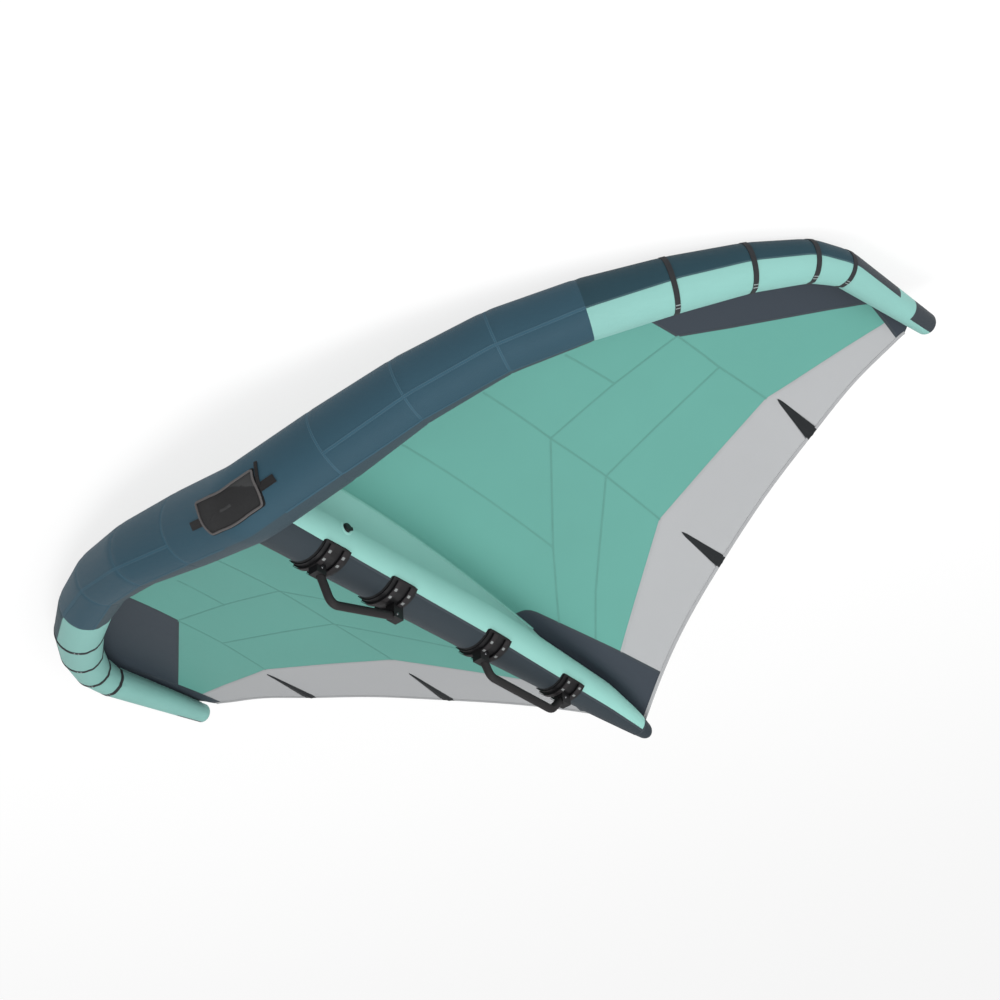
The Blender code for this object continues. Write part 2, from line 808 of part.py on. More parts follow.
def build_le_bladder():
    clearance = LE_WALL + BLADDER_CLEARANCE
    end = LE_LENGTH - BLADDER_END
    places = [-end] + [float(-a) for a in ARC[-2:0:-1]] + [float(a) for a in ARC[:-1]] + [end]
    outer = [le_ring(place, -clearance, BLADDER_SIDES) for place in places]
    skin = -clearance - BLADDER_WALL
    inner_places = [-end + BLADDER_WALL] + places[1:-1] + [end - BLADDER_WALL]
    inner = [le_ring(place, skin, BLADDER_SIDES) for place in inner_places]
    bladder = add_object("le_bladder", *loft(outer), BLADDER_FILM)
    hollow = helper("le_bladder_hollow", loft(inner))
    radius = bore_radius(NECK_RADIUS, CORE_CLEARANCE, TURNED_SIDES)
    bore = hole_cutter("le_bladder_bore", radius, valve_frame("main"))
    combine(bladder, [hollow, bore], "DIFFERENCE")


# Strut pieces

def strut_grid(angles, start, end, columns, offset):
    """Rows of a strut casing piece: its front row lies against the leading edge."""
    places = [start, (start + float(STRUT_KNOTS[1])) / 2]
    places += [float(knot) for knot in STRUT_KNOTS if start < knot < end]
    places.append(end)
    rows = []
    for step, place in enumerate(places):
        row = []
        first, last = angles(place)
        for i in range(columns + 1):
            angle = first + (last - first) * i / columns
            if step == 0:
                row.append(strut_front_point(angle, offset, STRUT_WALL))
            else:
                row.append(strut_point(place, angle, offset))
        rows.append(row)
    return rows


def build_strut():
    wall_middle = -STRUT_WALL / 2
    front = STRUT_RADIUS * STRUT_START_SHARE
    end = STRUT_LENGTH - TAIL_CAP_LENGTH

    def lower_span(place):
        half = sleeve_angle(place) - SEAM_GAP / 2 / strut_radius(place)
        return -half, half

    def upper_span(place):
        half = sleeve_angle(place) + SEAM_GAP / 2 / strut_radius(place)
        return half, TAU - half

    lower = strut_grid(lower_span, front, end, SLEEVE_COLUMNS[0], wall_middle)
    upper = strut_grid(upper_span, front, end, SLEEVE_COLUMNS[1], wall_middle)
    add_object("strut_sleeve_lower", *sheet(lower, STRUT_WALL), DARK_CLOTH)
    casing = add_object("strut_sleeve_upper", *sheet(upper, STRUT_WALL), MINT_CLOTH)
    radius = bore_radius(FLANGE_RADIUS, GAP, TURNED_SIDES)
    hole = hole_cutter("strut_valve_hole", radius, valve_frame("strut"))
    combine(casing, [hole], "DIFFERENCE")
    build_strut_bladder(end)
    build_tail_cap(end)
    web = np.array(web_grid())
    add_object("strut_web_left", *sheet(web, WEB_THICKNESS), MINT_CLOTH)
    add_object("strut_web_right", *sheet(web * MIRROR, WEB_THICKNESS), MINT_CLOTH)


def build_strut_bladder(end):
    offset = -STRUT_WALL - BLADDER_CLEARANCE
    last = end - BLADDER_END
    first = STRUT_RADIUS * BLADDER_START_SHARE
    places = [first]
    places += [float(k) for k in STRUT_KNOTS if first < k < last - BLADDER_END]
    places.append(last)

    def rings(extra, shift):
        out = []
        for number, place in enumerate(places):
            at = place + (shift if number == 0 else -shift if number == len(places) - 1 else 0)
            step = TAU / BLADDER_SIDES
            out.append([strut_point(at, step * i, offset - extra) for i in range(BLADDER_SIDES)])
        return out

    bladder = add_object("strut_bladder", *loft(rings(0.0, 0.0)), BLADDER_FILM)
    hollow = helper("strut_bladder_hollow", loft(rings(BLADDER_WALL, BLADDER_WALL)))
    radius = bore_radius(NECK_RADIUS, CORE_CLEARANCE, TURNED_SIDES)
    bore = hole_cutter("strut_bladder_bore", radius, valve_frame("strut"))
    combine(bladder, [hollow, bore], "DIFFERENCE")


def build_tail_cap(end):
    """The dark closed end of the strut, a cup that starts where the sleeves stop."""
    start = end + SEAM_GAP
    rings_out = []
    rings_in = []
    for step in range(TAIL_CAP_STEPS + 1):
        share = step / TAIL_CAP_STEPS
        place = start + (STRUT_LENGTH - start) * share
        rounding = max(share - TAIL_ROUND_START_SHARE, 0.0) / (1 - TAIL_ROUND_START_SHARE)
        shrink = 1.0 - TAIL_ROUND_SHARE * rounding**2
        radius = strut_radius(place) * shrink
        centre = np.array([0.0, place, STRUT_TOP - strut_radius(place)])
        inner = np.array([0.0, min(place, STRUT_LENGTH - TAIL_CAP_WALL), centre[2]])
        ring_out = []
        ring_in = []
        for i in range(STRUT_SIDES):
            angle = TAU * i / STRUT_SIDES
            spoke = np.array([math.sin(angle), 0.0, math.cos(angle)])
            ring_out.append(centre + radius * spoke)
            ring_in.append(inner + (radius - TAIL_CAP_WALL) * spoke)
        rings_out.append(ring_out)
        rings_in.append(ring_in)
    body = loft(rings_in[::-1] + rings_out)
    add_object("strut_tail_cap", *body, DARK_CLOTH)


def canopy_height(x, y):
    """Height of the canopy's middle surface over a place in plan, near the strut."""
    low, high = 0.0, NEAR_STRUT_SHARE
    for _ in range(16):
        share = (low + high) / 2
        across = canopy_on_plan(share, y)
        if across[0] < abs(x):
            low = share
        else:
            high = share
    return canopy_on_plan(high, y)[2]


def canopy_on_plan(share, y):
    low, high = 0.0, 1.0
    for _ in range(16):
        middle = (low + high) / 2
        if canopy_point(share, middle)[1] < y:
            low = middle
        else:
            high = middle
    return canopy_point(share, high)


def web_grid():
    """The fairing between the strut's +X flank and the canopy."""
    stand = GAP + WEB_THICKNESS / 2 + facet_lift(STRUT_RADIUS, TAU / STRUT_SIDES / 2)
    rest = CANOPY_THICKNESS / 2 + WEB_THICKNESS / 2 + WEB_FOOT_GAP

    def web_point(place, down):
        share = place / WEB_END
        top = strut_point(place, WEB_SEAT_ANGLE, stand)
        offset = WEB_FRONT_OFFSET + (WEB_BACK_OFFSET - WEB_FRONT_OFFSET) * share
        foot = np.array([offset, place, canopy_height(offset, place) + rest])
        return top + (foot - top) * down

    starts = []
    for i in range(WEB_COLUMNS + 1):
        place = STRUT_RADIUS
        for _ in range(8):
            point = web_point(place, i / WEB_COLUMNS)
            place = strut_front(point[0], point[2], WEB_CLEARANCE)
        starts.append(place)
    rows = []
    for step in range(WEB_STEPS + 1):
        row = []
        for i, start in enumerate(starts):
            place = start + (WEB_END - start) * step / WEB_STEPS
            row.append(web_point(place, i / WEB_COLUMNS))
        rows.append(row)
    return rows


# Canopy pieces

def build_canopy():
    corner = CORNER_PATCH_SHARE
    tip_start = TIP_PANEL_START_SHARE
    dark = DARK_PANEL_SHARE
    tip_end = CANOPY_END_SHARE
    long = PANEL_ROWS
    short = SHORT_PANEL_ROWS
    panels = (
        ("canopy_main", 0.0, corner, front_limit, back_limit, long, MINT_CANOPY),
        ("canopy_tip_panel", tip_start, corner, at_seat, front_limit, short, DARK_CANOPY),
        ("canopy_grey_panel", dark, corner, back_limit, edge_limit, long, GREY_CANOPY),
        ("canopy_centre_panel", 0.0, dark, back_limit, edge_limit, long, DARK_CANOPY),
        ("canopy_tip_corner", corner, tip_end, at_seat, edge_limit, short, DARK_CANOPY),
    )
    for side, name in ((1, "left"), (-1, "right")):
        for panel, first, last, low, high, rows, cloth in panels:
            grid = panel_grid(first, last, low, high, rows, side)
            add_object(f"{panel}_{name}", *sheet(grid, CANOPY_THICKNESS), cloth)
        for share, place in zip(BATTEN_SHARES, BATTEN_NAMES):
            pocket = batten_strip(share, side, POCKET_LENGTH, POCKET_POINT_WIDTH,
                                  POCKET_BASE_WIDTH, POCKET_THICKNESS, 1)
            add_object(f"batten_patch_{place}_{name}", *pocket, DARK_CLOTH)
            batten = batten_strip(share, side, BATTEN_LENGTH, BATTEN_WIDTH, BATTEN_WIDTH,
                                  BATTEN_THICKNESS, -1)
            add_object(f"batten_{place}_{name}", *batten, BATTEN_PLASTIC)
    add_object("trailing_edge_hem", *hem_body(), DARK_CLOTH)


def batten_strip(share, side, length, point_width, base_width, thickness, face):
    """A strip along the chord, on the handle side (face 1) or the back (face -1)."""
    chord = canopy_chord(share)
    end = 1.0 - (HEM_WIDTH + SEAM_GAP) / chord
    start = end - length / chord
    stand = face * (CANOPY_THICKNESS / 2 + thickness / 2 + 2 * GAP)
    grid = []
    steps = 3
    for step in range(steps + 1):
        down = start + (end - start) * step / steps
        width = point_width + (base_width - point_width) * step / steps
        middle = canopy_point(share, down)
        ahead = canopy_point(share, min(down + PROBE_SHARE, 1.0))
        along = ahead - canopy_point(share, down - PROBE_SHARE)
        across = canopy_point(share + PROBE_SHARE, down) - canopy_point(share - PROBE_SHARE, down)
        normal = np.cross(across, along)
        normal /= np.linalg.norm(normal)
        if normal[2] < 0:
            normal = -normal
        across /= np.linalg.norm(across)
        line = []
        for k in (-0.5, 0.5):
            point = middle + across * width * k + normal * stand
            line.append(point if side > 0 else point * MIRROR)
        grid.append(line)
    return sheet(grid, thickness)


def hem_body():
    """One narrow folded strip along the whole trailing edge."""
    rows = []
    for share in [-s for s in COLUMN_SHARES[:0:-1]] + list(COLUMN_SHARES):
        chord = canopy_chord(abs(share))
        line = []
        for edge in (1.0 - (HEM_WIDTH - SEAM_GAP) / chord, 1.0):
            point = canopy_point(abs(share), edge)
            line.append(point * MIRROR if share < 0 else point)
        rows.append(line)
    return sheet(rows, HEM_THICKNESS)


# Handle brackets and grips

def saddle_grid(place, length, half_angle, stand):
    lift = facet_lift(strut_radius(place) + stand, 2 * half_angle / SADDLE_COLUMNS)
    grid = []
    for shift in (-0.5, 0.5):
        line = []
        for j in range(SADDLE_COLUMNS + 1):
            angle = -half_angle + 2 * half_angle * j / SADDLE_COLUMNS
            line.append(strut_point(place + shift * length, angle, stand + lift))
        grid.append(line)
    return grid


def rounded_route(corners, radius):
    """Points along a bent tube: straight runs with a round bend at each inner corner."""
    corners = [np.array(corner, float) for corner in corners]
    points = [corners[0]]
    for k in range(1, len(corners) - 1):
        before = corners[k - 1] - corners[k]
        after = corners[k + 1] - corners[k]
        before /= np.linalg.norm(before)
        after /= np.linalg.norm(after)
        half = math.acos(float(np.clip(before.dot(after), -1, 1))) / 2
        back = radius / math.tan(half)
        middle = before + after
        middle /= np.linalg.norm(middle)
        centre = corners[k] + middle * radius / math.sin(half)
        first = corners[k] + before * back - centre
        last = corners[k] + after * back - centre
        turn = math.acos(float(np.clip(first.dot(last) / radius**2, -1, 1)))
        for step in range(BEND_STEPS + 1):
            w = step / BEND_STEPS
            mix = first * math.sin((1 - w) * turn) + last * math.sin(w * turn)
            points.append(centre + mix / math.sin(turn))
    points.append(corners[-1])
    return points


def grip_path(route):
    return rounded_route([(0.0, y, z) for y, z in route], GRIP_BEND_RADIUS)


def build_grips():
    routes = (("front", FRONT_GRIP_ROUTE), ("rear", REAR_GRIP_ROUTE))
    for name, route in routes:
        path = grip_path(route)
        first = path[1] - path[0]
        last = path[-1] - path[-2]
        first = first / np.linalg.norm(first)
        last = last / np.linalg.norm(last)
        core_path = [path[0] - first * CORE_SEAT_DEPTH] + path[1:-1]
        core_path.append(path[-1] + last * CORE_SEAT_DEPTH)
        core = swept(core_path, CORE_RADIUS, GRIP_SIDES, first, last)
        core_bore = swept(core_path, CORE_RADIUS - CORE_WALL, GRIP_SIDES, first, last)
        core_body = loft(core + core_bore[::-1], closed_path=True)
        add_object(f"{name}_grip_core", *core_body, BLACK_METAL)
        outer = swept(path, FOAM_RADIUS, GRIP_SIDES, first, last)
        inner = swept(path, CORE_RADIUS + GAP, GRIP_SIDES, first, last)
        foam = loft(outer + inner[::-1], closed_path=True)
        add_object(f"{name}_grip_foam", *foam, BLACK_FOAM)


def grip_ends():
    """For each bracket, where its grip's covering ends and which way the core goes on."""
    ends = []
    for route in (FRONT_GRIP_ROUTE, REAR_GRIP_ROUTE):
        path = grip_path(route)
        ends.append((path[0], path[0] - path[1]))
        ends.append((path[-1], path[-1] - path[-2]))
    return [(point, way / np.linalg.norm(way)) for point, way in ends]


def build_brackets():
    for number, place in enumerate(BRACKET_PLACES):
        end, way = grip_ends()[number]
        patch_stand = GAP + PATCH_THICKNESS / 2
        patch = sheet(saddle_grid(place, PATCH_LENGTH, PATCH_HALF_ANGLE, patch_stand),
                      PATCH_THICKNESS)
        patch_lift = facet_lift(strut_radius(place), 2 * PATCH_HALF_ANGLE / SADDLE_COLUMNS)
        add_object(f"bracket_patch_{number + 1}", *patch, DARK_CLOTH)
        base = 2 * GAP + PATCH_THICKNESS + patch_lift
        saddle_stand = base + SADDLE_THICKNESS / 2
        saddle = sheet(saddle_grid(place, BRACKET_LENGTH, BRACKET_HALF_ANGLE, saddle_stand),
                       SADDLE_THICKNESS)
        bracket = add_object(f"grip_bracket_{number + 1}", *saddle, BLACK_PLASTIC)
        parts = []
        rib_half_angle = BRACKET_HALF_ANGLE * RIB_SPAN_SHARE
        for shift in (-0.5, 0.5):
            rib_place = place + shift * RIB_SPACING
            rib_stand = base + SADDLE_THICKNESS / 2 + RIB_THICKNESS / 2
            rib = sheet(saddle_grid(rib_place, RIB_WIDTH, rib_half_angle, rib_stand),
                        RIB_THICKNESS)
            parts.append(helper(f"bracket_{number + 1}_rib_{int(shift > 0)}", rib))
        low = STRUT_TOP + base + SADDLE_THICKNESS / 2
        high = STRUT_TOP + base + BOSS_HEIGHTS[number]
        half = BOSS_WIDTH / 2
        run = BOSS_LENGTH / 2
        boss_centre = end[1] + way[1] * CORE_SEAT_DEPTH
        boss = block((-half, boss_centre - run, low), (half, boss_centre + run, high))
        parts.append(helper(f"bracket_{number + 1}_boss", boss))
        combine(bracket, parts, "UNION")
        bore = bore_radius(CORE_RADIUS, CORE_CLEARANCE, GRIP_SIDES)
        relief = bore_radius(FOAM_RADIUS, CORE_CLEARANCE, GRIP_SIDES)
        socket = rod(bore, end - way * FOAM_RADIUS * 3,
                     end + way * (CORE_SEAT_DEPTH + CORE_CLEARANCE), GRIP_SIDES)
        clear = rod(relief, end - way * FOAM_RADIUS * 3,
                    end + way * CORE_CLEARANCE, GRIP_SIDES)
        cutters = [helper(f"bracket_{number + 1}_socket", socket)]
        cutters.append(helper(f"bracket_{number + 1}_relief", clear))
        seat = end + way * CORE_SEAT_DEPTH * SCREW_SEAT_SHARE
        screw, hole = screw_bodies(seat[1], seat[2])
        cutters.append(helper(f"bracket_{number + 1}_screw_hole", hole))
        combine(bracket, cutters, "DIFFERENCE")
        add_object(f"clamp_screw_{number + 1}", *screw, STEEL)


def screw_bodies(place, height):
    """A pan head screw in the -X side of a boss, and the cutter for its hole."""
    face = -BOSS_WIDTH / 2 - GAP
    head = -SCREW_HEAD_HEIGHT
    shank = SCREW_SHANK_LENGTH
    rings = []
    outline = ((shank, SCREW_SHANK_RADIUS), (0.0, SCREW_SHANK_RADIUS), (0.0, SCREW_HEAD_RADIUS),
               (head, SCREW_HEAD_RADIUS * SCREW_CROWN_SHARE))
    for along, radius in outline:
        ring = []
        for i in range(SCREW_SIDES):
            angle = TAU * i / SCREW_SIDES
            offset = (face + along, place + radius * math.cos(angle))
            ring.append((*offset, height + radius * math.sin(angle)))
        rings.append(ring)
    hole = rod(bore_radius(SCREW_SHANK_RADIUS, GAP, SCREW_SIDES), (face + shank + GAP, place, height),
               (face - OVERRUN, place, height), SCREW_SIDES)
    return loft(rings), hole


# Front handle

def front_angle(forward):
    """Leading edge angle for an angle measured forward from the handle side."""
    return -(math.pi / 2 + forward)


def patch_grid(half_width, low, high, stand, columns, rows):
    stand = stand + facet_lift(LE_RADIUS, (high - low) / rows)
    grid = []
    for i in range(columns + 1):
        arc = -half_width + 2 * half_width * i / columns
        grid.append([le_surface(arc, front_angle(low + (high - low) * j / rows), stand)
                     for j in range(rows + 1)])
    return grid


def pad_lift(arc):
    """How far the handle stands off the tube: seated at both ends, arched between."""
    inner = PAD_HALF_WIDTH - PAD_SEAT_LENGTH
    share = min(abs(arc) / inner, 1.0)
    return PAD_LIFT * (1 - share**2) ** 0.5


def pad_rail(forward, rise, columns):
    points = []
    for i in range(columns + 1):
        arc = -PAD_HALF_WIDTH + 2 * PAD_HALF_WIDTH * i / columns
        points.append(le_surface(arc, front_angle(forward), rise + pad_lift(arc)))
    return points


def build_front_handle():
    stand = GAP + FRONT_PATCH_THICKNESS / 2
    patch = patch_grid(FRONT_PATCH_HALF_WIDTH, FRONT_PATCH_LOW_ANGLE, FRONT_PATCH_HIGH_ANGLE,
                       stand, FRONT_PATCH_COLUMNS, FRONT_PATCH_ROWS)
    add_object("front_handle_patch", *sheet(patch, FRONT_PATCH_THICKNESS), BLACK_CLOTH)
    patch_step = (FRONT_PATCH_HIGH_ANGLE - FRONT_PATCH_LOW_ANGLE) / FRONT_PATCH_ROWS
    pad_step = (PAD_HIGH_ANGLE - PAD_LOW_ANGLE) / PAD_ROWS
    lift = facet_lift(LE_RADIUS, patch_step) + facet_lift(LE_RADIUS, pad_step)
    seat = 2 * GAP + FRONT_PATCH_THICKNESS + PAD_THICKNESS / 2 + lift
    rails = []
    for j in range(PAD_ROWS + 1):
        rails.append(pad_rail(PAD_LOW_ANGLE + pad_step * j, seat, PAD_COLUMNS))
    add_object("front_handle_pad", *sheet(rails, PAD_THICKNESS), BLACK_CLOTH)
    middle = (PAD_LOW_ANGLE + PAD_HIGH_ANGLE) / 2
    tab_stand = GAP + TAB_THICKNESS / 2 + facet_lift(LE_RADIUS, TAB_HALF_ANGLE)
    for side, name in ((1, "left"), (-1, "right")):
        start = FRONT_PATCH_HALF_WIDTH + SEAM_GAP
        grid = []
        for i in range(3):
            arc = side * (start + TAB_LENGTH * i / 2)
            grid.append([le_surface(arc, front_angle(middle + k * TAB_HALF_ANGLE), tab_stand)
                         for k in (-1, 0, 1)])
        add_object(f"front_handle_tab_{name}", *sheet(grid, TAB_THICKNESS), WEBBING)
    strap = []
    strap_stand = GAP + TAB_THICKNESS / 2 + facet_lift(LE_RADIUS, TAB_HALF_ANGLE * 2)
    strap_arc = FRONT_PATCH_HALF_WIDTH + SEAM_GAP + STRAP_HALF_WIDTH
    start = middle + TAB_HALF_ANGLE + SEAM_GAP / LE_RADIUS
    for i in range(STRAP_STEPS + 1):
        forward = start + (STRAP_END_ANGLE - start) * i / STRAP_STEPS
        strap.append([le_surface(-strap_arc + k * STRAP_HALF_WIDTH, front_angle(forward),
                                 strap_stand) for k in (-1, 1)])
    add_object("front_handle_strap", *sheet(strap, TAB_THICKNESS), WEBBING)


# Valves

def build_valve(kind):
    frame = valve_frame(kind)
    prefix = f"{kind}_valve"
    height = MAIN_BODY_HEIGHT if kind == "main" else STRUT_BODY_HEIGHT
    base_profile = (
        (NECK_RADIUS, -NECK_DEPTH),
        (NECK_RADIUS, -FLANGE_DEPTH),
        (FLANGE_RADIUS, -FLANGE_DEPTH),
        (FLANGE_RADIUS, -FLANGE_DEPTH + FLANGE_THICKNESS),
        (BODY_RADIUS, -FLANGE_DEPTH + FLANGE_THICKNESS),
        (BODY_RADIUS, height),
        (MOUTH_RADIUS, height),
        (MOUTH_RADIUS, -SEAT_DEPTH + SEAT_THICKNESS),
        (SEAT_RADIUS, -SEAT_DEPTH + SEAT_THICKNESS),
        (SEAT_RADIUS, -SEAT_DEPTH),
        (FLAP_BORE_RADIUS, -SEAT_DEPTH),
        (FLAP_BORE_RADIUS, -NECK_DEPTH + KEEPER_THICKNESS),
        (KEEPER_RADIUS, -NECK_DEPTH + KEEPER_THICKNESS),
        (KEEPER_RADIUS, -NECK_DEPTH),
    )
    base = add_object(f"{prefix}_base", *turned(base_profile), BLACK_PLASTIC, matrix=frame)
    pin_height = height + CAP_THICKNESS / 2
    half = HINGE_BARREL_LENGTH / 2 + HINGE_CLEARANCE
    parts = []
    for number, side in enumerate((-1, 1)):
        near = side * half
        far = side * (half + LUG_THICKNESS)
        lug_low = (BODY_RADIUS - OVERRUN / 2, min(near, far), height - 2 * LUG_THICKNESS)
        lug_high = (HINGE_OFFSET + LUG_RADIUS, max(near, far), pin_height + LUG_RADIUS)
        parts.append(helper(f"{prefix}_lug_{number}", block(lug_low, lug_high), frame))
    reach = half + LUG_THICKNESS / 2
    pin = rod(HINGE_PIN_RADIUS, (HINGE_OFFSET, -reach, pin_height),
              (HINGE_OFFSET, reach, pin_height), PIN_SIDES)
    parts.append(helper(f"{prefix}_pin", pin, frame))
    combine(base, parts, "UNION")

    flap_top = -SEAT_DEPTH - FLAP_CLEARANCE
    flap = rod(FLAP_RADIUS, (0.0, 0.0, -FLAP_THICKNESS), (0.0, 0.0, 0.0), TURNED_SIDES)
    flap_frame = frame @ Matrix.Translation((0.0, 0.0, flap_top))
    add_object(f"{prefix}_flap", *flap, BLACK_RUBBER, matrix=flap_frame)

    hinge_frame = frame @ Matrix.Translation((HINGE_OFFSET, 0.0, pin_height))
    under = height + GAP - pin_height
    over = under + CAP_THICKNESS
    lid = rod(CAP_RADIUS, (-HINGE_OFFSET, 0.0, under), (-HINGE_OFFSET, 0.0, over), TURNED_SIDES)
    cap = add_object(f"{prefix}_cap", *lid, BLACK_PLASTIC, matrix=hinge_frame)
    plug = rod(PLUG_RADIUS, (-HINGE_OFFSET, 0.0, under - PLUG_DEPTH),
               (-HINGE_OFFSET, 0.0, over - GAP), TURNED_SIDES)
    half_barrel = HINGE_BARREL_LENGTH / 2
    barrel = rod(HINGE_BARREL_RADIUS, (0.0, -half_barrel, 0.0), (0.0, half_barrel, 0.0),
                 BARREL_SIDES)
    tab = block((-HINGE_OFFSET + CAP_RADIUS - OVERRUN / 2, -half_barrel + GAP, under + GAP),
                (0.0, half_barrel - GAP, over - GAP))
    joined = [helper(f"{prefix}_cap_plug", plug, hinge_frame)]
    joined.append(helper(f"{prefix}_cap_barrel", barrel, hinge_frame))
    joined.append(helper(f"{prefix}_cap_tab", tab, hinge_frame))
    combine(cap, joined, "UNION")
    clear_pin = bore_radius(HINGE_PIN_RADIUS, HINGE_CLEARANCE, PIN_BORE_SIDES)
    bore = rod(clear_pin, (0.0, -half_barrel - OVERRUN, 0.0),
               (0.0, half_barrel + OVERRUN, 0.0), PIN_BORE_SIDES)
    combine(cap, [helper(f"{prefix}_cap_bore", bore, hinge_frame)], "DIFFERENCE")


# The wing on the ground

def settle():
    """Tips the wing nose down and stands its lowest point on the ground, centred."""
    tilt = Matrix.Rotation(REST_PITCH, 4, "X")
    low = np.full(3, np.inf)
    high = np.full(3, -np.inf)
    bpy.context.view_layer.update()
    graph = bpy.context.evaluated_depsgraph_get()
    for obj in bpy.data.objects:
        if obj.type != "MESH" or obj.hide_render:
            continue
        evaluated = obj.evaluated_get(graph)
        mesh = evaluated.to_mesh()
        points = np.empty(len(mesh.vertices) * 3)
        mesh.vertices.foreach_get("co", points)
        evaluated.to_mesh_clear()
        world = np.array(tilt @ obj.matrix_world)
        points = points.reshape(-1, 3) @ world[:3, :3].T + world[:3, 3]
        low = np.minimum(low, points.min(axis=0))
        high = np.maximum(high, points.max(axis=0))
    shift = Vector((-(low[0] + high[0]) / 2, -(low[1] + high[1]) / 2, -low[2]))
    REST_FRAME.matrix_world = Matrix.Translation(shift) @ tilt


clear_scene()
REST_FRAME = bpy.data.objects.new("rest_frame", None)
bpy.context.scene.collection.objects.link(REST_FRAME)

TEAL_CLOTH = make_material("teal_cloth", (0.045, 0.105, 0.145), 0.55)
MINT_CLOTH = make_material("mint_cloth", (0.285, 0.565, 0.51), 0.55)
DARK_CLOTH = make_material("dark_cloth", (0.035, 0.05, 0.062), 0.6)
BLACK_CLOTH = make_material("black_cloth", (0.03, 0.031, 0.034), 0.8)
WEBBING = make_material("webbing", (0.03, 0.03, 0.032), 0.8)
MINT_CANOPY = make_material("mint_canopy", (0.15, 0.39, 0.34), 0.5)
GREY_CANOPY = make_material("grey_canopy", (0.45, 0.455, 0.465), 0.5)
DARK_CANOPY = make_material("dark_canopy", (0.042, 0.058, 0.074), 0.5)
BLADDER_FILM = make_material("bladder_film", (0.75, 0.78, 0.8), 0.3)
BLACK_PLASTIC = make_material("black_plastic", (0.012, 0.012, 0.014), 0.45)
BLACK_FOAM = make_material("black_foam", (0.02, 0.018, 0.02), 0.7)
BLACK_METAL = make_material("black_metal", (0.03, 0.03, 0.03), 0.35, 1.0)
BLACK_RUBBER = make_material("black_rubber", (0.02, 0.02, 0.02), 0.7)
BATTEN_PLASTIC = make_material("batten_plastic", (0.05, 0.05, 0.055), 0.5)
STEEL = make_material("steel", (0.5, 0.5, 0.52), 0.3, 1.0)

build_leading_edge()
build_strut()
build_canopy()
build_grips()
build_brackets()
build_front_handle()
build_valve("main")
build_valve("strut")
settle()
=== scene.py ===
"""Looks of the wingfoil wing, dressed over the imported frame.

The wing's shapes are worked out in its own construction frame (X to one side, Y aft along the
strut, Z from the canopy towards the handles) and then laid on the ground as the frame is.
"""
import math

import bmesh
import bpy
import numpy as np
from mathutils import Matrix, Vector
from mathutils.geometry import delaunay_2d_cdt


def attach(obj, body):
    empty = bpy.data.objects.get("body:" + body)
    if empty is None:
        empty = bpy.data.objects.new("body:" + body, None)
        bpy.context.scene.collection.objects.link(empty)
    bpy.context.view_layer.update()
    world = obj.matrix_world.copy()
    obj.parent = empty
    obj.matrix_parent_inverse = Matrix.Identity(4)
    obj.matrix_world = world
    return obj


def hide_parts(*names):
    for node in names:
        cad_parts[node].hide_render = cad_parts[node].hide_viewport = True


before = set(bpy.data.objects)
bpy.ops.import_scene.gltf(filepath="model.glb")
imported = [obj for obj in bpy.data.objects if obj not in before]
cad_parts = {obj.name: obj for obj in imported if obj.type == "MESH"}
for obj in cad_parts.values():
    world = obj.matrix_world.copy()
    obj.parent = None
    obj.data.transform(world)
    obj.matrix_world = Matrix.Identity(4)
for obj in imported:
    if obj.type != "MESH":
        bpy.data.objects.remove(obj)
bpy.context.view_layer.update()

TAU = 2 * math.pi
MIRROR = np.array([-1.0, 1.0, 1.0])
HALVES = (np.ones(3), MIRROR)
WING = "wing"
BISECTIONS = 30

# How the wing lies on the ground
REST_PITCH = math.radians(12.6)
REST_SHIFT = Vector((0.0, -0.8328322, 0.3046241))
REST = Matrix.Translation(REST_SHIFT) @ Matrix.Rotation(REST_PITCH, 4, "X")
REST_ARRAY = np.array(REST)


def to_world(points):
    points = np.asarray(points, float)
    return points @ REST_ARRAY[:3, :3].T + REST_ARRAY[:3, 3]


def run_lengths(path):
    """The distance along a path at each of its points."""
    return np.concatenate([[0.0], np.cumsum(np.linalg.norm(np.diff(path, axis=0), axis=1))])


# Leading edge line

STATIONS = np.array([
    (0.0, 0.0, 0.0), (0.2886, 0.0510, -0.0777), (0.5646, 0.0837, -0.1366),
    (0.8248, 0.1713, -0.2115), (1.0495, 0.2904, -0.2638), (1.2490, 0.4303, -0.3137),
    (1.4169, 0.5847, -0.3683), (1.5336, 0.7325, -0.4107), (1.5746, 0.8489, -0.4284),
    (1.5770, 1.3080, -0.4710),
])
TUBE_RADIUS = 0.1205
STATION_RADII = TUBE_RADIUS * np.array([1.0, 0.98, 0.872, 0.794, 0.755, 0.689, 0.602, 0.527, 0.453, 0.283])
ARC = run_lengths(STATIONS)
LE_LENGTH = float(ARC[-1])
BREAK_ARC = float(ARC[4])
TIP_ARC = float(ARC[8])
LE_ROUND = 0.030
PUCKER_REACH = 0.030
PUCKER_HEIGHT = 0.0007
BEND_SINK = 0.0016
BEND_SINK_REACH = 0.008
SEAT_ANGLE = math.radians(65)
SEAM_ANGLES = np.radians((-133, -131, -133, -135, -142, -149, -153, -154, -152, -152))
GREYER_BAND_ANGLES = np.radians((-88, -88, -80, -72, -70, -70, -70, -70, -70, -70))


def le_line(arc):
    """Points of the middle line for an array of distances from the wing's middle."""
    arc = np.atleast_1d(np.asarray(arc, float))
    point = np.stack([np.interp(np.abs(arc), ARC, STATIONS[:, k]) for k in range(3)], axis=-1)
    point[arc < 0] *= MIRROR
    return point


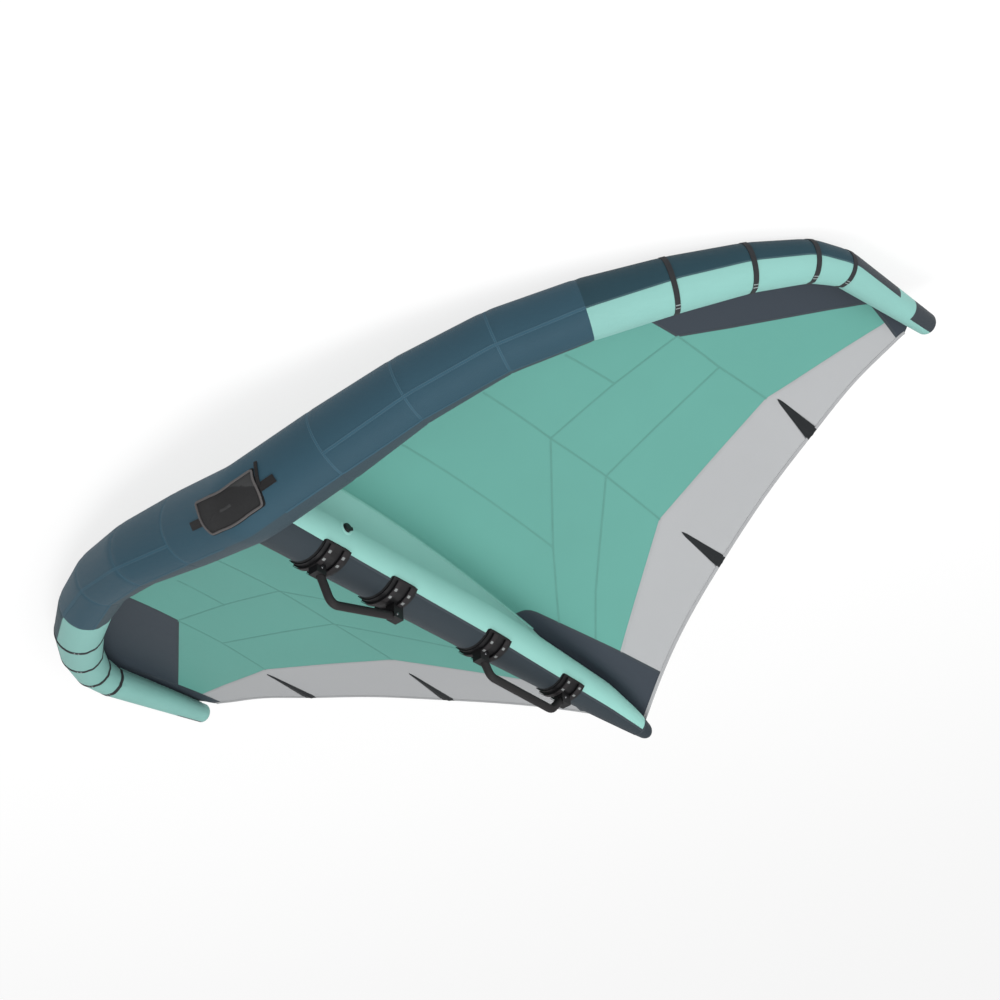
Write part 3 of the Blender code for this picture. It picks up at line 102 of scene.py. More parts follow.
def le_centre(arc):
    """Middle line with each sewn bend slightly rounded."""
    arc = np.atleast_1d(np.asarray(arc, float))
    point = le_line(arc)
    for mark in np.concatenate([-ARC[:0:-1], ARC])[1:-1]:
        near = np.abs(arc - mark) < LE_ROUND
        if near.any():
            share = (arc[near] - mark + LE_ROUND) / (2 * LE_ROUND)
            first = le_line(mark - LE_ROUND)[0]
            last = le_line(mark + LE_ROUND)[0]
            middle = le_line(mark)[0]
            w = share[:, None]
            point[near] = first * (1 - w) ** 2 + 2 * middle * w * (1 - w) + last * w**2
    return point


def le_radius(arc):
    return np.interp(np.abs(arc), ARC, STATION_RADII)


def seam_angle(arc):
    """Where the lengthwise seam, and further out the colour line, runs on the tube."""
    return np.interp(np.abs(arc), ARC, SEAM_ANGLES)


def greyer_band_angle(arc):
    """Where the greyer band on the tube's side towards the canopy starts."""
    return np.interp(np.abs(arc), ARC, GREYER_BAND_ANGLES)


def le_tangent(arc):
    arc = np.atleast_1d(np.asarray(arc, float))
    step = LE_ROUND / 2
    ahead = le_line(np.minimum(arc + step, LE_LENGTH))
    behind = le_line(np.maximum(arc - step, -LE_LENGTH))
    way = ahead - behind
    return way / np.linalg.norm(way, axis=1, keepdims=True)


# Trailing edge line

TE_TABLE = np.array([
    (0.0, 1.84, 0.030), (0.18195, 1.725, -0.0401), (0.59295, 1.5309, -0.190),
    (1.092, 1.3681, -0.352), (1.476, 1.3020, -0.468), (1.5, 1.3009, -0.474),
])
TE_FAN = 1.62


def natural_cubic(knots, values):
    count = len(knots)
    step = np.diff(knots)
    matrix = np.eye(count)
    right = np.zeros(count)
    for i in range(1, count - 1):
        matrix[i, i - 1:i + 2] = (step[i - 1], 2 * (step[i - 1] + step[i]), step[i])
        after = (values[i + 1] - values[i]) / step[i]
        right[i] = 6 * (after - (values[i] - values[i - 1]) / step[i - 1])
    return np.linalg.solve(matrix, right)


TE_BENDS = [natural_cubic(TE_TABLE[:, 0], TE_TABLE[:, k]) for k in (1, 2)]


def te_value(column, x):
    knots = TE_TABLE[:, 0]
    values = TE_TABLE[:, column]
    bends = TE_BENDS[column - 1]
    i = np.clip(np.searchsorted(knots, x) - 1, 0, len(knots) - 2)
    h = knots[i + 1] - knots[i]
    a = (knots[i + 1] - x) / h
    b = (x - knots[i]) / h
    bend = ((a**3 - a) * bends[i] + (b**3 - b) * bends[i + 1]) * h * h / 6
    return a * values[i] + b * values[i + 1] + bend


def te_point(share):
    share = np.clip(np.atleast_1d(np.asarray(share, float)), 0.0, 1.0)
    x = TE_TABLE[-1, 0] * (1 - (1 - share) ** TE_FAN)
    return np.stack([x, te_value(1, x), te_value(2, x)], axis=-1)


def le_frame(arc):
    """Across-the-tube axes: towards the canopy, and down."""
    arc = np.atleast_1d(np.asarray(arc, float))
    size = np.abs(arc)
    tangent = le_tangent(size)
    aft = te_point(size / LE_LENGTH) - le_line(size)
    aft -= tangent * (aft * tangent).sum(1, keepdims=True)
    aft /= np.linalg.norm(aft, axis=1, keepdims=True)
    down = np.cross(aft, tangent)
    down[down[:, 2] > 0] *= -1
    aft[arc < 0] *= MIRROR
    down[arc < 0] *= MIRROR
    return aft, down


def le_wrinkle(arc, angle):
    """Small puckers each side of a sewn bend, more on its inner side."""
    out = np.zeros(np.broadcast(arc, angle).shape)
    for number, mark in enumerate(np.concatenate([-ARC[-2:0:-1], ARC[1:-1]])):
        near = np.exp(-((arc - mark) / PUCKER_REACH) ** 2)
        phase = 1.7 * number
        waves = np.cos(11 * angle + phase) + 0.7 * np.cos(17 * angle - 2.1 * phase)
        out += PUCKER_HEIGHT * near * waves * (0.45 + 0.55 * np.cos(angle))
        out -= BEND_SINK * np.exp(-((arc - mark) / BEND_SINK_REACH) ** 2)
    return out


def le_surface(arc, angle, offset=0.0, plain=False):
    """Points on the leading edge tube for broadcast arrays of arc and angle."""
    arc, angle = np.broadcast_arrays(np.asarray(arc, float), np.asarray(angle, float))
    shape = arc.shape
    flat = arc.ravel()
    places, back = np.unique(flat, return_inverse=True)
    aft, down = le_frame(places)
    centre = le_centre(places)
    radius = le_radius(places)
    turn = angle.ravel()[:, None]
    spoke = np.cos(turn) * aft[back] + np.sin(turn) * down[back]
    lift = np.broadcast_to(np.asarray(offset, float), shape).ravel()
    if not plain:
        lift = lift + le_wrinkle(flat, angle.ravel())
    reach = (radius[back] + lift)[:, None]
    return (centre[back] + reach * spoke).reshape(*shape, 3)


def front_angle(forward):
    return -(math.pi / 2 + forward)


# Canopy surface

CAMBER_SHARE = 0.038
CAMBER_FORWARD = 0.75
STRUT_DIP = 0.018
STRUT_DIP_START = 0.70
STRUT_DIP_WIDTH = 0.03
CANOPY_END = 0.982
CORNER_FRONT = 0.826
CORNER_BACK = 0.922
SEAT_LIFT = 0.0004
BATTEN_SHARES = (0.266, 0.551)
BATTEN_SPACING = 0.285
FAN_FOLD = 0.0016
FAN_WIDTH = 0.22
SCALLOP_DEPTH = 0.0035
SCALLOP_START = 0.55
TIP_FOLD = 0.0012
TIP_FOLD_PLACE = 0.86
TIP_FOLD_WIDTH = 0.08


def canopy_point(share, chord_share):
    """Points on the canopy for arrays of span share and chord share."""
    share, chord_share = np.broadcast_arrays(np.asarray(share, float), np.asarray(chord_share, float))
    shape = share.shape
    u = share.ravel()
    t = chord_share.ravel()
    size = np.abs(u)
    marks, back = np.unique(size, return_inverse=True)
    front = le_surface(marks * LE_LENGTH, SEAT_ANGLE, SEAT_LIFT, plain=True)[back]
    tail = te_point(marks)[back]
    chord = np.linalg.norm(tail - front, axis=1)
    point = front + (tail - front) * t[:, None]
    inside = np.clip(t, 0.0, 1.0)
    point[:, 2] -= CAMBER_SHARE * chord * np.sin(math.pi * inside**CAMBER_FORWARD)
    run = np.clip((t - STRUT_DIP_START) / (1 - STRUT_DIP_START), 0.0, 1.0)
    side = np.clip(1 - (size / STRUT_DIP_WIDTH) ** 2, 0.0, 1.0)
    point[:, 2] -= STRUT_DIP * np.sin(math.pi * run) * side
    point[:, 2] += canopy_ripple(size, t)
    point[u < 0] *= MIRROR
    return point.reshape(*shape, 3)


def canopy_ripple(u, t):
    """Shallow tension folds: fanning from the strut's front and hanging between the battens."""
    across = np.sin(math.pi * np.clip(t, 0, 1))
    fan = FAN_FOLD * np.sin(38 * u + 9 * t) * np.exp(-(u / FAN_WIDTH) ** 2) * across
    edge = np.clip((t - SCALLOP_START) / (1 - SCALLOP_START), 0, 1) ** 2
    scallop = SCALLOP_DEPTH * edge * np.sin(math.pi * (u - BATTEN_SHARES[0]) / BATTEN_SPACING) ** 2
    tip = TIP_FOLD * np.sin(60 * u) * np.exp(-((u - TIP_FOLD_PLACE) / TIP_FOLD_WIDTH) ** 2) * across
    return fan - scallop + tip


def plan_to_share(x, y):
    """Span share and chord share of the canopy over a place in plan, both sides alike."""
    out = []
    for px, py in zip(x, y):
        low, high = 0.0, CANOPY_END
        for _ in range(BISECTIONS):
            u = (low + high) / 2
            front = seat_point(u)
            tail = te_point(u)[0]
            t = (py - front[1]) / (tail[1] - front[1])
            reach = front[0] + (tail[0] - front[0]) * t
            if reach < px:
                low = u
            else:
                high = u
        out.append((u, t))
    return np.array(out)


SEAT_SHARES = np.linspace(0.0, 1.0, 400)
SEAT_POINTS = le_surface(SEAT_SHARES * LE_LENGTH, SEAT_ANGLE, SEAT_LIFT, plain=True)


def seat_point(share):
    return np.array([np.interp(share, SEAT_SHARES, SEAT_POINTS[:, k]) for k in range(3)])


# Strut surface

STRUT_LENGTH = 1.858
STRUT_TOP = 0.092
STRUT_RADIUS = 0.0925
STRUT_KNOTS = STRUT_LENGTH * np.array([0.0, 0.54, 0.668, 0.862, 0.955, 1.0])
STRUT_RADII = STRUT_RADIUS * np.array([1.0, 0.92, 0.80, 0.638, 0.42, 0.24])
SLEEVE_FRONT_ANGLE = math.radians(51)
SLEEVE_BACK_ANGLE = math.radians(30)
TAIL_START = STRUT_LENGTH - 0.062
STRUT_BLEND = 0.03
LE_AFT_LIMIT = 0.35


def strut_radius(place):
    place = np.asarray(place, float)
    total = 0.0
    for shift, weight in ((-STRUT_BLEND, 0.25), (0.0, 0.5), (STRUT_BLEND, 0.25)):
        total = total + weight * np.interp(place + shift, STRUT_KNOTS, STRUT_RADII)
    ease = np.clip((place - TAIL_START) / (STRUT_LENGTH - TAIL_START), 0, 1)
    return total * (1 - ease) + np.interp(place, STRUT_KNOTS, STRUT_RADII) * ease


def strut_point(place, angle, offset=0.0):
    place, angle = np.broadcast_arrays(np.asarray(place, float), np.asarray(angle, float))
    radius = strut_radius(place)
    reach = radius + offset
    return np.stack([reach * np.sin(angle), place, STRUT_TOP - radius + reach * np.cos(angle)], axis=-1)


def strut_strip(strips, place, angle, offset, width, lift, kind=0, thickness=0.0, closed=False):
    """A ribbon on the strut, through a place or an angle for each of its points."""
    line = strut_point(place, angle, offset)
    place = line[:, 1]
    centre = np.stack([np.zeros_like(place), place, STRUT_TOP - strut_radius(place)], axis=1)
    strips.add(line, line - centre, width, lift, kind, thickness, closed)


def sleeve_angle(place):
    share = np.clip(np.asarray(place, float) / STRUT_LENGTH, 0.0, 1.0)
    return SLEEVE_FRONT_ANGLE + (SLEEVE_BACK_ANGLE - SLEEVE_FRONT_ANGLE) * share


def clear_of_le(x, z, clearance):
    """How far aft a line through (x, z) leaves the leading edge tube."""
    edge = STATIONS[1] - STATIONS[0]
    low, high = 0.0, LE_AFT_LIMIT
    for _ in range(BISECTIONS):
        place = (low + high) / 2
        probe = np.array([abs(x), place, z])
        along = probe.dot(edge) / edge.dot(edge)
        reach = STATION_RADII[0] + (STATION_RADII[1] - STATION_RADII[0]) * along
        if np.linalg.norm(probe - edge * along) > reach + clearance:
            high = place
        else:
            low = place
    return high


# Materials

class Nodes:
    """Short names for building one material's nodes."""

    def __init__(self, name):
        self.material = bpy.data.materials.new(name)
        self.material.use_nodes = True
        self.tree = self.material.node_tree
        self.shader = self.tree.nodes["Principled BSDF"]

    def add(self, kind, **values):
        node = self.tree.nodes.new(kind)
        for key, value in values.items():
            setattr(node, key, value)
        return node

    def link(self, source, target):
        self.tree.links.new(source, target)

    def coords(self, kind="Object"):
        return self.add("ShaderNodeTexCoord").outputs[kind]

    def noise(self, vector, scale, detail):
        node = self.add("ShaderNodeTexNoise")
        node.inputs["Scale"].default_value = scale
        node.inputs["Detail"].default_value = detail
        self.link(vector, node.inputs["Vector"])
        return node.outputs["Fac"]

    def math(self, operation, first, second=None):
        node = self.add("ShaderNodeMath", operation=operation)
        for socket, value in zip(node.inputs, (first, second)):
            if value is None:
                continue
            if isinstance(value, (int, float)):
                socket.default_value = value
            else:
                self.link(value, socket)
        return node.outputs[0]

    def mix(self, share, first, second):
        node = self.add("ShaderNodeMix", data_type="RGBA")
        for index, value in ((0, share), (6, first), (7, second)):
            if isinstance(value, tuple):
                node.inputs[index].default_value = (*value, 1.0)
            elif isinstance(value, float):
                node.inputs[index].default_value = value
            else:
                self.link(value, node.inputs[index])
        return node.outputs[2]

    def bump(self, height, strength, distance, under=None):
        node = self.add("ShaderNodeBump")
        node.inputs["Strength"].default_value = strength
        node.inputs["Distance"].default_value = distance
        self.link(height, node.inputs["Height"])
        if under is not None:
            self.link(under, node.inputs["Normal"])
        return node.outputs["Normal"]

    def split(self, vector):
        node = self.add("ShaderNodeSeparateXYZ")
        self.link(vector, node.inputs[0])
        return node.outputs

    def done(self, colour, levels):
        """Sets the levels that are the same all over and gives back the material."""
        for socket, value in levels.items():
            self.shader.inputs[socket].default_value = value
        self.material.diffuse_color = (*colour, 1.0)
        return self.material


def shade(colour, factor):
    return tuple(min(c * factor, 1.0) for c in colour)


CLOTH_SHEEN = 0.03


def cloth(name, colour, roughness, weave=0.0011, relief=0.25, vary=0.08, grid=0.0):
    """A woven cloth: crossing threads, a soft change of shade and fine lint."""
    n = Nodes(name)
    where = n.coords()
    x, y, z = n.split(where)
    frequency = TAU / weave
    threads = n.math("SINE", n.math("MULTIPLY", n.math("ADD", x, z), frequency))
    across = n.math("SINE", n.math("MULTIPLY", n.math("SUBTRACT", y, z), frequency))
    height = n.math("MULTIPLY", threads, across)
    broad = n.noise(where, 2.6, 3.0)
    fine = n.noise(where, 420.0, 2.0)
    tone = n.mix(broad, shade(colour, 1 - vary), shade(colour, 1 + vary))
    tone = n.mix(n.math("MULTIPLY", fine, 0.22), tone, shade(colour, 0.72))
    if grid:
        lines = []
        for axis in (x, y):
            wave = n.math("ABSOLUTE", n.math("SINE", n.math("MULTIPLY", axis, math.pi / grid)))
            lines.append(n.math("LESS_THAN", wave, 0.10))
        cross = n.math("MAXIMUM", *lines)
        tone = n.mix(n.math("MULTIPLY", cross, 0.16), tone, shade(colour, 1.5))
        height = n.math("ADD", height, n.math("MULTIPLY", cross, 1.6))
    n.link(tone, n.shader.inputs["Base Color"])
    rough = n.math("ADD", n.math("MULTIPLY", broad, 0.10), roughness - 0.05)
    n.link(rough, n.shader.inputs["Roughness"])
    folds = n.bump(n.noise(where, 9.0, 3.0), 0.10, 0.01)
    n.link(n.bump(height, relief, weave * 0.35, folds), n.shader.inputs["Normal"])
    return n.done(colour, {"Sheen Weight": CLOTH_SHEEN, "Sheen Roughness": 0.4, "Specular IOR Level": 0.2})


STITCH_LENGTH = 0.006
STITCH_ROWS = (0.22, 0.78)


def seam_tape(name, colour, thread, dark_edge):
    """A sewn strip: its UV runs along in metres and across from 0 to 1, with rows of stitches."""
    n = Nodes(name)
    along, across, _ = n.split(n.coords("UV"))
    wave = n.math("SINE", n.math("MULTIPLY", along, TAU / STITCH_LENGTH))
    dash = n.math("GREATER_THAN", wave, -0.35)
    lines = []
    for row in STITCH_ROWS:
        off = n.math("ABSOLUTE", n.math("SUBTRACT", across, row))
        lines.append(n.math("MULTIPLY", n.math("LESS_THAN", off, 0.055), dash))
    mask = n.math("MAXIMUM", *lines)
    edge = n.math("ABSOLUTE", n.math("SUBTRACT", across, 0.5))
    rim = n.math("GREATER_THAN", edge, 0.44)
    broad = n.noise(n.coords(), 14.0, 3.0)
    tone = n.mix(broad, shade(colour, 0.88), shade(colour, 1.10))
    tone = n.mix(n.math("MULTIPLY", rim, dark_edge), tone, shade(colour, 0.45))
    tone = n.mix(mask, tone, thread)
    n.link(tone, n.shader.inputs["Base Color"])
    height = n.math("SUBTRACT", n.math("MULTIPLY", mask, 0.8), n.math("MULTIPLY", rim, 1.0))
    n.link(n.bump(height, 0.5, 0.0006), n.shader.inputs["Normal"])
    return n.done(colour, {"Roughness": 0.6, "Specular IOR Level": 0.2})


def webbing(name, colour, rib=0.0022):
    """Woven strap: fine ribs across and a herringbone along; UV as on a seam tape."""
    n = Nodes(name)
    along, across, _ = n.split(n.coords("UV"))
    rows = n.math("SINE", n.math("MULTIPLY", along, TAU / rib))
    twill = n.math("SINE", n.math("ADD", n.math("MULTIPLY", along, TAU / rib / 2),
                                  n.math("MULTIPLY", across, 40.0)))
    height = n.math("ADD", rows, n.math("MULTIPLY", twill, 0.6))
    broad = n.noise(n.coords(), 60.0, 3.0)
    tone = n.mix(broad, shade(colour, 0.75), shade(colour, 1.3))
    tone = n.mix(n.math("MULTIPLY", n.math("ADD", height, 1.6), 0.12), tone, shade(colour, 1.9))
    n.link(tone, n.shader.inputs["Base Color"])
    n.link(n.bump(height, 0.4, 0.0005), n.shader.inputs["Normal"])
    return n.done(colour, {"Roughness": 0.7, "Sheen Weight": CLOTH_SHEEN, "Specular IOR Level": 0.2})


def solid(name, colour, roughness, grain=300.0, relief=0.12, metallic=0.0):
    """Moulded plastic, rubber, foam or metal with a fine grain and worn lighter patches."""
    n = Nodes(name)
    where = n.coords()
    fine = n.noise(where, grain, 3.0)
    broad = n.noise(where, 18.0, 4.0)
    n.link(n.mix(broad, shade(colour, 0.88), shade(colour, 1.24)), n.shader.inputs["Base Color"])
    n.link(n.math("ADD", n.math("MULTIPLY", broad, 0.12), roughness - 0.06), n.shader.inputs["Roughness"])
    n.link(n.bump(fine, relief, 0.0012), n.shader.inputs["Normal"])
    return n.done(colour, {"Metallic": metallic, "Specular IOR Level": 0.3})


TEAL = (0.0190, 0.058, 0.085)
GREYER_TEAL = (0.030, 0.052, 0.066)
MINT = (0.200, 0.410, 0.375)
DARK = (0.030, 0.038, 0.046)
CANOPY_MINT = (0.095, 0.283, 0.242)
CANOPY_GREY = (0.335, 0.342, 0.350)
CANOPY_DARK = (0.028, 0.037, 0.049)
BLACK = (0.0048, 0.0048, 0.0055)

SAIL_WEAVE = {"weave": 0.0009, "relief": 0.18, "grid": 0.0055}

TEAL_CLOTH = cloth("leading_edge_teal", TEAL, 0.56)
GREYER_BAND_CLOTH = cloth("leading_edge_greyer_band", GREYER_TEAL, 0.60)
# The front strip's cloth is the teal made darker: painted shade where the tube faces away from the light
STRIP_PAINTED_SHADE_CLOTH = cloth("leading_edge_strip_painted_shade", (0.0110, 0.0400, 0.0560), 0.60)
MINT_CLOTH = cloth("leading_edge_mint", MINT, 0.58)
DARK_CLOTH = cloth("leading_edge_dark", DARK, 0.60)
SLEEVE_CLOTH = cloth("strut_dark", (0.023, 0.033, 0.041), 0.60)
STRUT_MINT = cloth("strut_mint", (0.245, 0.500, 0.450), 0.58)
SAIL_MINT = cloth("canopy_mint", CANOPY_MINT, 0.52, vary=0.06, **SAIL_WEAVE)
SAIL_GREY = cloth("canopy_grey", CANOPY_GREY, 0.54, vary=0.03, **SAIL_WEAVE)
SAIL_DARK = cloth("canopy_dark", CANOPY_DARK, 0.52, vary=0.06, **SAIL_WEAVE)
PATCH_CLOTH = cloth("patch_black", (0.0060, 0.0070, 0.0080), 0.70, weave=0.0016, relief=0.5)
PAD_CLOTH = cloth("handle_pad", (0.0410, 0.0420, 0.0430), 0.75, weave=0.0020, relief=0.6)
# Darker copy of the pad cloth: painted shadow under the handle's upper edge, laid on the pad above its fold
PAD_PAINTED_SHADE = cloth("handle_painted_shade", (0.0190, 0.0190, 0.0200), 0.75, weave=0.0020, relief=0.6)
PIPING = cloth("handle_piping", (0.085, 0.080, 0.080), 0.65, weave=0.0014, relief=0.4)
TEAL_SEAM = seam_tape("seam_teal", shade(TEAL, 1.22), (0.060, 0.100, 0.125), dark_edge=0.15)
EDGE_SEAM = seam_tape("seam_edge", (0.030, 0.070, 0.085), (0.080, 0.130, 0.140), dark_edge=0.20)
WEB_SEAM = seam_tape("seam_web", (0.150, 0.36, 0.31), (0.19, 0.42, 0.37), dark_edge=0.30)
MINT_SEAM = seam_tape("seam_mint", shade(MINT, 0.93), (0.30, 0.52, 0.48), dark_edge=0.20)
SAIL_SEAM = seam_tape("seam_canopy", shade(CANOPY_MINT, 0.80), (0.14, 0.34, 0.29), dark_edge=0.45)
GREY_SEAM = seam_tape("seam_grey", shade(CANOPY_GREY, 0.90), (0.42, 0.42, 0.43), dark_edge=0.35)
DARK_SEAM = seam_tape("seam_dark", (0.032, 0.041, 0.050), (0.060, 0.075, 0.085), dark_edge=0.30)
BAND = webbing("band_dark", (0.016, 0.017, 0.019))
BAND_THREAD = webbing("band_thread", (0.20, 0.24, 0.24))
BLACK_WEB = webbing("webbing_black", (0.0085, 0.0080, 0.0085))
STITCH_THREAD = webbing("stitch_grey", (0.17, 0.18, 0.18), rib=0.0012)
BROWN_WEB = webbing("webbing_worn", (0.014, 0.0125, 0.0135))
HEM_TAPE = seam_tape("hem_grey", shade(CANOPY_GREY, 0.86), (0.40, 0.40, 0.41), dark_edge=0.35)
BLACK_PLASTIC = solid("plastic_black", BLACK, 0.45)
BLACK_FOAM = solid("foam_black", (0.0066, 0.0058, 0.0064), 0.62, grain=700.0, relief=0.35)
BLACK_METAL = solid("metal_black", (0.020, 0.020, 0.022), 0.35, metallic=1.0)
RUBBER = solid("rubber_black", (0.010, 0.010, 0.011), 0.70)
STEEL = solid("steel", (0.16, 0.16, 0.17), 0.35, metallic=1.0)
POCKET = cloth("batten_pocket", (0.0085, 0.0105, 0.012), 0.62, weave=0.0012, relief=0.4)
FILM = solid("bladder_film", (0.60, 0.64, 0.66), 0.25)
BATTEN = solid("batten", (0.05, 0.05, 0.055), 0.5)
RING_MINT = cloth("valve_ring", (0.30, 0.57, 0.52), 0.50, weave=0.0012, relief=0.2)


# Building pieces

def piece(name, points, faces, materials, indices=None, uvs=None, smooth=40, *, slot):
    """A mesh in the construction frame, laid on the ground and riding on the wing."""
    mesh = bpy.data.meshes.new(name)
    world = to_world(np.asarray(points, float).reshape(-1, 3))
    mesh.from_pydata([tuple(v) for v in world], [], [tuple(int(i) for i in f) for f in faces])
    for material in materials:
        mesh.materials.append(material)
    if indices is not None:
        mesh.polygons.foreach_set("material_index", np.asarray(indices, np.int32))
    if uvs is not None:
        layer = mesh.uv_layers.new(name="UVMap")
        order = np.zeros(len(mesh.loops), np.int32)
        mesh.loops.foreach_get("vertex_index", order)
        layer.data.foreach_set("uv", np.asarray(uvs, np.float32)[order].ravel())
    mesh.validate()
    mesh.shade_smooth()
    if smooth < 180:
        mesh.set_sharp_from_angle(angle=math.radians(smooth))
    obj = bpy.data.objects.new(name, mesh)
    bpy.context.scene.collection.objects.link(obj)
    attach(obj, WING)
    return obj


def grid_faces(rows, columns, start=0, wrap=False):
    faces = []
    for i in range(rows - 1):
        for j in range(columns if wrap else columns - 1):
            k = (j + 1) % columns
            a = start + i * columns
            faces.append((a + j, a + k, a + columns + k, a + columns + j))
    return faces


def end_faces(rows, columns):
    """The two faces that close a tube of rings."""
    return [tuple(range(columns))[::-1], tuple((rows - 1) * columns + i for i in range(columns))]


def outward(obj):
    """Turns every face of a closed mesh outwards."""
    work = bmesh.new()
    work.from_mesh(obj.data)
    bmesh.ops.recalc_face_normals(work, faces=work.faces)
    work.to_mesh(obj.data)
    work.free()
    return obj


EDGE_SINK = 0.0004


class Strips:
    """Collects ribbons that follow lines on a surface into one piece."""

    def __init__(self):
        self.points = []
        self.faces = []
        self.uvs = []
        self.indices = []

    def add(self, line, normals, width, lift, material=0, thickness=0.0, closed=False):
        line = np.asarray(line, float)
        normals = np.asarray(normals, float)
        along = np.gradient(line, axis=0)
        if closed:
            along[0] = along[-1] = line[1] - line[-2]
        side = np.cross(normals, along)
        side /= np.linalg.norm(side, axis=1, keepdims=True)
        normals = normals / np.linalg.norm(normals, axis=1, keepdims=True)
        run = run_lengths(line)
        widths = np.broadcast_to(np.asarray(width, float), (len(line),))
        profile = [(-0.5, -EDGE_SINK), (-0.47, lift + thickness), (0.0, lift + thickness * 1.15),
                   (0.47, lift + thickness), (0.5, -EDGE_SINK)]
        base = len(self.points)
        for k in range(len(line)):
            for across, height in profile:
                self.points.append(line[k] + side[k] * across * widths[k] + normals[k] * height)
                self.uvs.append((run[k], across + 0.5))
        count = len(profile)
        for k in range(len(line) - 1):
            for j in range(count - 1):
                a = base + k * count + j
                self.faces.append((a, a + 1, a + count + 1, a + count))
                self.indices.append(material)

    def build(self, name, materials, **options):
        return piece(name, self.points, self.faces, materials, self.indices, self.uvs,
                     smooth=50, **options)


def tube(path, radius, sides, closed=False):
    """Points and faces of a round tube along a path; radius may change along it."""
    count = len(path)
    if closed:
        tangents = np.roll(path, -1, axis=0) - np.roll(path, 1, axis=0)
    else:
        tangents = np.gradient(path, axis=0)
    tangents /= np.linalg.norm(tangents, axis=1, keepdims=True)
    radii = np.broadcast_to(np.asarray(radius, float), (count,))
    side = np.cross(tangents[0], (0.31, 0.22, 0.93))
    points = []
    uvs = []
    run = run_lengths(path)
    for k in range(count):
        side = side - tangents[k] * side.dot(tangents[k])
        side /= np.linalg.norm(side)
        other = np.cross(tangents[k], side)
        for i in range(sides):
            a = TAU * i / sides
            points.append(path[k] + radii[k] * (math.cos(a) * side + math.sin(a) * other))
            uvs.append((run[k], i / sides))
    faces = grid_faces(count, sides, wrap=True)
    if closed:
        last = (count - 1) * sides
        for j in range(sides):
            k = (j + 1) % sides
            faces.append((last + j, last + k, k, j))
    else:
        faces += end_faces(count, sides)
    return points, faces, uvs


# Leading edge skin

TIP_STRIP_END = 0.245
TIP_STRIP_ANGLE = math.radians(152)
TIP_PATCH_ANGLES = np.radians((-101, 95))
TIP_PATCH_LENGTH = 0.125
TIP_DOME = 0.019
TIP_DOME_STEPS = 8
TIP_DOME_CORE = 0.42
TIP_END_GAP = 0.012
FRONT_CELLS = 48
GREYER_BAND_CELLS = 26
SEAT_CELLS = 34
RING_STEP = 0.010
BEND_RINGS = np.array([-0.012, -0.006, -0.003, 0.003, 0.006, 0.012])
HALF_CELL = 0.02


def skin_angles(arc):
    """One ring's angles: seam to the greyer band, across the band to the canopy seat, and on round the
    front to the seam.
    """
    seam = float(seam_angle(arc))
    flap = float(greyer_band_angle(arc))
    first = np.linspace(seam, flap, GREYER_BAND_CELLS + 1)[:-1]
    second = np.linspace(flap, SEAT_ANGLE, SEAT_CELLS + 1)[:-1]
    third = np.linspace(SEAT_ANGLE, seam + TAU, FRONT_CELLS + 1)[:-1]
    return np.concatenate([first, second, third])


def skin_kind(arc, angle, front, flap):
    """0 teal, 1 mint, 2 dark, 3 the greyer band towards the canopy, 4 the front strip: the teal cloth
    painted darker with shade.
    """
    if arc < BREAK_ARC:
        return 3 if flap else 0
    if arc < TIP_ARC:
        return 4 if front else 1
    if arc < TIP_ARC + TIP_STRIP_END:
        return 2 if front and angle > TIP_STRIP_ANGLE else 1
    if arc > LE_LENGTH - TIP_PATCH_LENGTH:
        return 1 if TIP_PATCH_ANGLES[0] <= angle <= TIP_PATCH_ANGLES[1] else 2
    return 1


